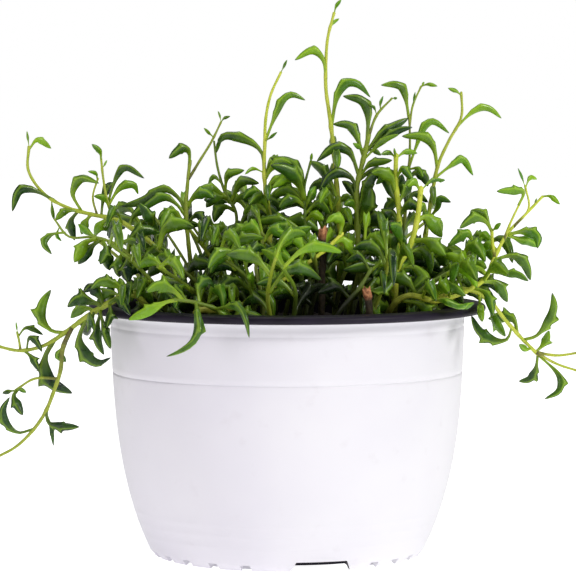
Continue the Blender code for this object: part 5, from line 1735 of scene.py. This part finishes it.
def stem_material():
    """Brown to purplish at the foot, yellow-green above, green towards the tip."""
    n = Nodes("stem")
    along, tint, yellow = (n.attribute(name) for name in ("along", "tint", "young"))
    patch = n.noise(260, 4)
    fleck = n.noise(1400, 2)
    green = n.mix(n.span(tint, 0, 1), (0.05, 0.12, 0.01), (0.15, 0.27, 0.015))
    golden = n.mix(n.span(patch, 0.35, 0.65), (0.58, 0.68, 0.03), (0.76, 0.8, 0.09))
    colour = n.mix(n.span(yellow, 0, 1), green, golden)
    low = n.span(n.math("ADD", along, n.span(patch, 0.3, 0.7, -0.12, 0.12)), 0.08, 0.34, 0.85, 0.0)
    colour = n.mix(low, colour, (0.09, 0.075, 0.02))
    colour = n.mix(n.span(fleck, 0.58, 0.72, 0.0, 0.5), colour, (0.16, 0.07, 0.03))
    # painted shade: stems in the hollow and low over the soil are darkened towards black
    colour = n.mix(n.span(n.attribute("shade"), 0, 1, 0.0, 0.93), colour, (0.004, 0.004, 0.002))
    n.set(Base_Color=colour, Roughness=n.span(patch, 0.3, 0.7, 0.42, 0.6))
    n.bump(fleck, 0.12 * MM, 0.5)
    return n.material


def dry_material():
    """The dried brown of cut stem ends."""
    n = Nodes("dry_stem")
    grain = n.noise(700, 5)
    bark = n.mix(n.span(grain, 0.35, 0.65), (0.02, 0.014, 0.008), (0.06, 0.04, 0.018))
    raw = n.mix(n.span(grain, 0.35, 0.65), (0.16, 0.035, 0.01), (0.72, 0.33, 0.15))
    colour = n.mix(n.span(n.attribute("along"), 0.0, 0.35), bark, raw)
    n.set(Base_Color=colour, Roughness=0.8)
    n.bump(grain, 0.4 * MM)
    return n.material


def white_plastic():
    """The pot's white outside: thin thermoformed plastic with a faint waviness and a few scuffs."""
    n = Nodes("white_plastic")
    cloud = n.noise(14, 3)
    fine = n.noise(900, 2)
    colour = n.mix(n.span(cloud, 0.3, 0.7), (0.79, 0.775, 0.84), (0.86, 0.85, 0.89))
    colour = n.mix(n.span(n.noise(120, 6), 0.62, 0.8, 0.0, 0.25), colour, (0.66, 0.62, 0.66))
    n.set(Base_Color=colour, Roughness=n.span(cloud, 0.3, 0.7, 0.34, 0.46))
    height = n.math("ADD", n.math("MULTIPLY", cloud, 8.0), n.math("MULTIPLY", fine, 0.15))
    n.bump(height, 0.25 * MM, 0.4)
    return n.material


def dark_plastic():
    """The pot's dark inside and lip, a purplish black with a satin sheen."""
    n = Nodes("dark_plastic")
    cloud = n.noise(60, 4)
    colour = n.mix(n.span(cloud, 0.3, 0.7), (0.007, 0.005, 0.011), (0.016, 0.011, 0.026))
    n.set(Base_Color=colour, Roughness=n.span(cloud, 0.3, 0.7, 0.38, 0.55))
    n.shader.inputs["Specular IOR Level"].default_value = 0.2
    n.bump(n.noise(1200, 2), 0.1 * MM, 0.4)
    return n.material


def soil_material():
    """Dark peat with paler fibres."""
    n = Nodes("potting_mix")
    coarse = n.noise(260, 6)
    fine = n.noise(1500, 4)
    colour = n.mix(n.span(coarse, 0.4, 0.62), (0.006, 0.005, 0.004), (0.035, 0.022, 0.014))
    colour = n.mix(n.span(fine, 0.62, 0.75, 0.0, 0.6), colour, (0.1, 0.06, 0.035))
    n.set(Base_Color=colour, Roughness=0.95)
    n.bump(n.math("ADD", coarse, n.math("MULTIPLY", fine, 0.5)), 1.2 * MM)
    return n.material


def floor_material():
    """White that the camera sees almost as the background, and that lights the pot from below."""
    n = Nodes("floor")
    grain = n.noise(30, 3)
    n.set(Base_Color=n.mix(grain, (0.93, 0.93, 0.93), (0.95, 0.95, 0.95)), Roughness=0.7)
    n.shader.inputs["Emission Color"].default_value = (1, 1, 1, 1)
    ray = n.add("ShaderNodeLightPath").outputs["Is Camera Ray"]
    n.set(Emission_Strength=n.span(ray, 0, 1, FLOOR_GLOW, FLOOR_SHOWN))
    return n.material


def outward_mesh(name, points, faces):
    """A closed mesh whose faces all look outwards."""
    mesh = bpy.data.meshes.new(name)
    mesh.from_pydata(points, [], faces)
    shape = bmesh.new()
    shape.from_mesh(mesh)
    bmesh.ops.recalc_face_normals(shape, faces=shape.faces)
    shape.to_mesh(mesh)
    shape.free()
    return mesh


def revolved(name, profile, steps, shift):
    """A closed surface turned round the Z axis, each point moved outwards by shift(angle, height, part)."""
    points, faces, starts = [], [], []
    for radius, height, part in profile:
        starts.append(len(points))
        if radius == 0:
            points.append((0.0, 0.0, height))
            continue
        for step in range(steps):
            angle = 2 * math.pi * step / steps
            reach = radius + shift(angle, height, part)
            points.append((reach * math.cos(angle), reach * math.sin(angle), height))
    for index in range(len(profile) - 1):
        first, second = starts[index], starts[index + 1]
        for step in range(steps):
            after = (step + 1) % steps
            if profile[index][0] == 0:
                faces.append((first, second + after, second + step))
            elif profile[index + 1][0] == 0:
                faces.append((first + step, first + after, second))
            else:
                faces.append((first + step, first + after, second + after, second + step))
    return outward_mesh(name, points, faces)


def arc(centre, radius, start, stop, steps):
    """Points of a section's round corner, by angles in degrees from +X."""
    turns = [math.radians(start + (stop - start) * step / steps) for step in range(steps + 1)]
    return [(centre[0] + radius * math.cos(t), centre[1] + radius * math.sin(t)) for t in turns]


def fine_pot_profile():
    """The pot's half section, finely, each point with its part: floor, outside, lip or inside."""
    under = POT_HEIGHT - LIP_THICK
    floor = [(0, BASE_RISE), (30 * MM, BASE_RISE),
             (BEAD_RADIUS - 3 * MM, BASE_RISE), (BEAD_RADIUS - 2.4 * MM, BEAD_LOW),
             (BEAD_RADIUS, BEAD_LOW), (BEAD_RADIUS + 0.6 * MM, BASE_RISE),
             (FOOT_RADIUS - 3.4 * MM, BASE_RISE), (FOOT_RADIUS - 2.8 * MM, BASE_RISE - 0.6 * MM),
             (FOOT_RADIUS - 2.3 * MM, 0.5 * MM)]
    foot = arc((FOOT_RADIUS - 1.1 * MM, 0.9 * MM), 0.9 * MM, 200, 360, 6)
    outside = [(wall_radius(h * MM), h * MM) for h in OUTSIDE_HEIGHTS]
    corner = [(WALL_TOP_RADIUS + 0.5 * MM, under - 1.2 * MM), (WALL_TOP_RADIUS + 1.3 * MM, under - 0.5 * MM),
              (WALL_TOP_RADIUS + 2.6 * MM, under - 0.1 * MM)]
    lip = [(WALL_TOP_RADIUS + 4 * MM, under), (LIP_RADIUS - 3 * MM, under)]
    lip += arc((LIP_RADIUS - 1.6 * MM, under + 1.6 * MM), 1.6 * MM, -90, 90, 10)
    lip += [(LIP_RADIUS - 3.4 * MM, POT_HEIGHT - 0.1 * MM),
            (WALL_TOP_RADIUS + 1.5 * MM, POT_HEIGHT - 0.2 * MM)]
    inside = arc((WALL_TOP_RADIUS + 0.6 * MM, POT_HEIGHT - 2.3 * MM), 2.1 * MM, 90, 180, 6)
    inside += [(wall_radius(h * MM) - WALL, h * MM) for h in INSIDE_HEIGHTS]
    inside += [(FOOT_RADIUS - 2.5 * MM, BASE_RISE + WALL), (0, BASE_RISE + WALL)]
    parts = (("floor", floor), ("outside", foot + outside + corner), ("lip", lip), ("inside", inside))
    return [(*point, part) for part, points in parts for point in points]


def pot_shift(angle, height, part):
    """Faint rings near the foot, the step and the seam near the top, ribs above the seam, and a waviness."""
    if part != "outside":
        return 0.0
    shift = 0.0
    for middle, rise, width in POT_RELIEF:
        shift += rise * MM * math.exp(-((height - middle * MM) / (width * MM)) ** 2)
    if height > RIB_START:
        shift += RIB_RISE * math.cos(RIB_COUNT * angle) ** RIB_POWER
    wave = math.sin(3 * angle + height * WALL_WAVE_TURN)
    return shift + WALL_WAVE * wave * min(1.0, height / WALL_WAVE_FULL)


def build_pot_looks(white, dark):
    """The pot: white outside, dark inside, on its lip and where a wide notch shows its floor."""
    mesh = revolved("pot_looks", fine_pot_profile(), POT_STEPS, pot_shift)
    pot = add_object("pot_looks", mesh)
    mesh.materials.append(white)
    mesh.materials.append(dark)
    raise_bead(mesh)
    cut_foot(pot)
    under = POT_HEIGHT - LIP_THICK
    for face in pot.data.polygons:
        radius = math.hypot(face.center.x, face.center.y)
        inner = radius < wall_radius(face.center.z) - INNER_DEPTH
        if face.center.z < BASE_RISE + 0.1 * MM and notch_gap(face.center) > DARK_FLOOR:
            inner = False
        lip = face.center.z > under - 0.05 * MM and radius > WALL_TOP_RADIUS - 3 * MM
        face.material_index = 1 if inner or lip else 0
        face.use_smooth = True
    pot.data.set_sharp_from_angle(angle=SHARP_ANGLE)
    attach(pot, "root")
    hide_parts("pot")


def notch_gap(point):
    """How many degrees round the pot a point is from the middle of the nearest wide notch."""
    turn = math.degrees(math.atan2(point.x, -point.y)) - WIDE_NOTCH_ANGLE
    return abs((turn + 180 / FOOT_THIRDS) % (360 / FOOT_THIRDS) - 180 / FOOT_THIRDS)


def raise_bead(mesh):
    """Lifts the bead under the pot's floor where a wide notch of the foot ring shows it."""
    for vertex in mesh.vertices:
        if abs(vertex.co.z - BEAD_LOW) < 0.01 * MM and vertex.co.x ** 2 + vertex.co.y ** 2 < BEAD_EDGE ** 2:
            near = between((BEAD_LIFTED - notch_gap(vertex.co)) / BEAD_FADE)
            vertex.co.z += (BEAD_AT_NOTCH - BEAD_LOW) * near


def cut_foot(pot):
    """Cuts the foot ring's notches and the drain holes."""
    cutters = bpy.data.collections.new("cutters")
    bpy.context.scene.collection.children.link(cutters)
    for third in range(FOOT_THIRDS):
        start = WIDE_NOTCH_ANGLE + third * 360 / FOOT_THIRDS
        add_notch(cutters, start, WIDE_NOTCH, WIDE_SLANT)
        for offset in SMALL_NOTCH_ANGLES:
            add_notch(cutters, start + offset, SMALL_NOTCH, SMALL_SLANT)
    for number in range(DRAIN_COUNT):
        add_drain_cutter(cutters, 2 * math.pi * (number + 0.5) / DRAIN_COUNT)
    bpy.context.view_layer.update()
    subtract(pot, cutters)
    for cutter in list(cutters.objects):
        bpy.data.objects.remove(cutter, do_unlink=True)
    bpy.data.collections.remove(cutters)


def build_soil_looks(material):
    """A finer top for the potting mix, with bark chips lying on it."""
    edge = wall_radius(SOIL_TOP) - WALL - SOIL_GAP
    points, faces = [], []
    for ring in range(SOIL_RINGS + 1):
        for x, y in circle(max(SOIL_MIDDLE, edge * ring / SOIL_RINGS), SOIL_STEPS):
            rough = noise.fractal(Vector((x, y, 0)) * SOIL_GRAIN, *SOIL_FRACTAL) * SOIL_ROUGH
            points.append((x, y, soil_height(x, y) + rough - SOIL_SINK))
    for height in SOIL_SIDE_HEIGHTS:
        radius = wall_radius(height * MM) - WALL - SOIL_GAP
        points += [(x, y, height * MM) for x, y in circle(radius, SOIL_STEPS)]
    last = SOIL_RINGS + len(SOIL_SIDE_HEIGHTS)
    for ring in range(last):
        for step in range(SOIL_STEPS):
            first, after = ring * SOIL_STEPS + step, ring * SOIL_STEPS + (step + 1) % SOIL_STEPS
            faces.append((first, after, after + SOIL_STEPS, first + SOIL_STEPS))
    faces.append(tuple(range(SOIL_STEPS)))
    faces.append(tuple(reversed(range(last * SOIL_STEPS, (last + 1) * SOIL_STEPS))))
    draw = random.Random(CHIP_SEED)
    for _ in range(CHIP_COUNT):
        add_chip(points, faces, draw, edge)
    mesh = outward_mesh("soil_looks", points, faces)
    mesh.materials.append(material)
    soil = add_object("soil_looks", mesh)
    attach(soil, "root")
    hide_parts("soil")


def add_chip(points, faces, draw, edge):
    """A small wedge of bark, half sunk in the mix."""
    radius = (edge - CHIP_EDGE) * math.sqrt(draw.random())
    turn = draw.uniform(0, 6.28)
    x, y = radius * math.cos(turn), radius * math.sin(turn)
    centre = Vector((x, y, soil_height(x, y) + CHIP_LIFT))
    spin = Matrix.Rotation(draw.uniform(0, 6.28), 3, "Z") @ Matrix.Rotation(draw.uniform(-0.5, 0.5), 3, "X")
    size = Vector([draw.uniform(*span) for span in CHIP_SIZES]) * MM
    start = len(points)
    for i, j, k in CHIP_CORNERS:
        corner = Vector((i * size.x, j * size.y, k * size.z)) * 0.5
        points.append(tuple(centre + spin @ corner))
    for face in CHIP_FACES:
        faces.append(tuple(start + corner for corner in face))


def cut_stem_piece(plant, number, material):
    """A dried cut stem with a ragged, shrunken end."""
    draw = random.Random(CUT_SEED + number)
    path, radii, _ = plant["tubes"][0]
    fine = smooth_path(path, CUT_SPACING)
    length = path_length(fine)
    builder = Builder()
    rings = []
    for index, (point, along, side) in enumerate(frames(fine)):
        share = index / (len(fine) - 1)
        lift = along.cross(side)
        ring = []
        for corner in range(CUT_ROUND):
            angle = 2 * math.pi * corner / CUT_ROUND
            rough = 1 + CUT_LUMP * math.sin(3 * angle + index * 0.5) * share
            rough += draw.uniform(-CUT_ROUGH, CUT_ROUGH)
            reach = radii[0] * rough * (CUT_SHRUNKEN + CUT_FLARE * share ** 4)
            drop = along * draw.uniform(*CUT_RAGGED) * MM * (1 if index == len(fine) - 1 else 0)
            ring.append((point + drop + (side * math.cos(angle) + lift * math.sin(angle)) * reach,
                         (1 - (1 - share) * length / RAW_END, 0.5, 0.0, 0.0)))
        rings.append(ring)
    builder.ring_surface(rings, (fine[-1] - along * CUT_DISH * MM, (1.0, 0.5, 0.0, 0.0)), 0)
    piece = add_object(plant["name"] + "_looks", builder.mesh(plant["name"], [material]))
    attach(piece, "root")
    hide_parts(plant["name"])


def aim_at(obj, place):
    """Turns a camera or a lamp to look at a place."""
    aim = Vector(place) - obj.location
    obj.rotation_euler = aim.to_track_quat("-Z", "Y").to_euler()


def build_camera():
    """The photograph's camera."""
    data = bpy.data.cameras.new("camera")
    data.sensor_width = SENSOR
    data.lens = LENS
    data.clip_start = NEAR_CLIP
    camera = add_object("camera", data)
    camera.location = (0, -CAMERA_DISTANCE, CAMERA_HEIGHT)
    aim_at(camera, (CAMERA_AIM, 0, CENTRE_HEIGHT))
    bpy.context.scene.camera = camera


def add_light(name, place, size, power, colour):
    """A soft round lamp that looks at the middle of the plant."""
    data = bpy.data.lights.new(name, "AREA")
    data.shape = "DISK"
    data.size = size
    data.energy = power
    data.color = colour
    light = add_object(name, data)
    light.location = place
    aim_at(light, LAMP_AIM)


def build_stage():
    """A plain white floor, a white world and the lamps."""
    mesh = bpy.data.meshes.new("floor")
    corners = [(x * FLOOR_REACH, y * FLOOR_REACH, 0) for x, y in ((-1, -1), (1, -1), (1, 1), (-1, 1))]
    mesh.from_pydata(corners, [], [(0, 1, 2, 3)])
    mesh.materials.append(floor_material())
    floor = add_object("floor", mesh)
    world = bpy.data.worlds.new("studio")
    world.use_nodes = True
    tree = world.node_tree
    background = tree.nodes["Background"]
    background.inputs["Color"].default_value = (1, 1, 1, 1)
    ray = tree.nodes.new("ShaderNodeLightPath")
    strength = tree.nodes.new("ShaderNodeMapRange")
    strength.inputs["To Min"].default_value = AMBIENT
    strength.inputs["To Max"].default_value = 1.0
    tree.links.new(ray.outputs["Is Camera Ray"], strength.inputs["Value"])
    tree.links.new(strength.outputs["Result"], background.inputs["Strength"])
    bpy.context.scene.world = world
    for lamp in LAMPS:
        add_light(*lamp)
    bpy.context.scene.view_settings.view_transform = "Standard"


def build():
    """Places every stem and leaf as the CAD model has them, adds those of the looks, and makes the pieces."""
    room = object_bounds()
    build_camera()
    build_stage()
    settled, taken = settle_shown_stems()
    settle_cut_stems(settled, taken)
    settle_bush_stems(settled, taken)
    shapes = settle_leaves(settled)
    settle_more_shown_leaves(settled, shapes)
    front = front_points(settled)
    settle_extra_leaves(settled, shapes, room, front)
    sprigs = settle_sprigs(taken, shapes, room, front)
    grow_leaves(settled + sprigs, shapes)
    leaf, stem_looks, dry = leaf_material(), stem_material(), dry_material()
    for number, plant in enumerate(settled + sprigs):
        if plant["material"] == "cut":
            cut_stem_piece(plant, number, dry)
            continue
        piece = plant_piece(plant, number, [leaf, stem_looks])
        if plant in settled:
            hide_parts(plant["name"])
    build_pot_looks(white_plastic(), dark_plastic())
    build_soil_looks(soil_material())


build()
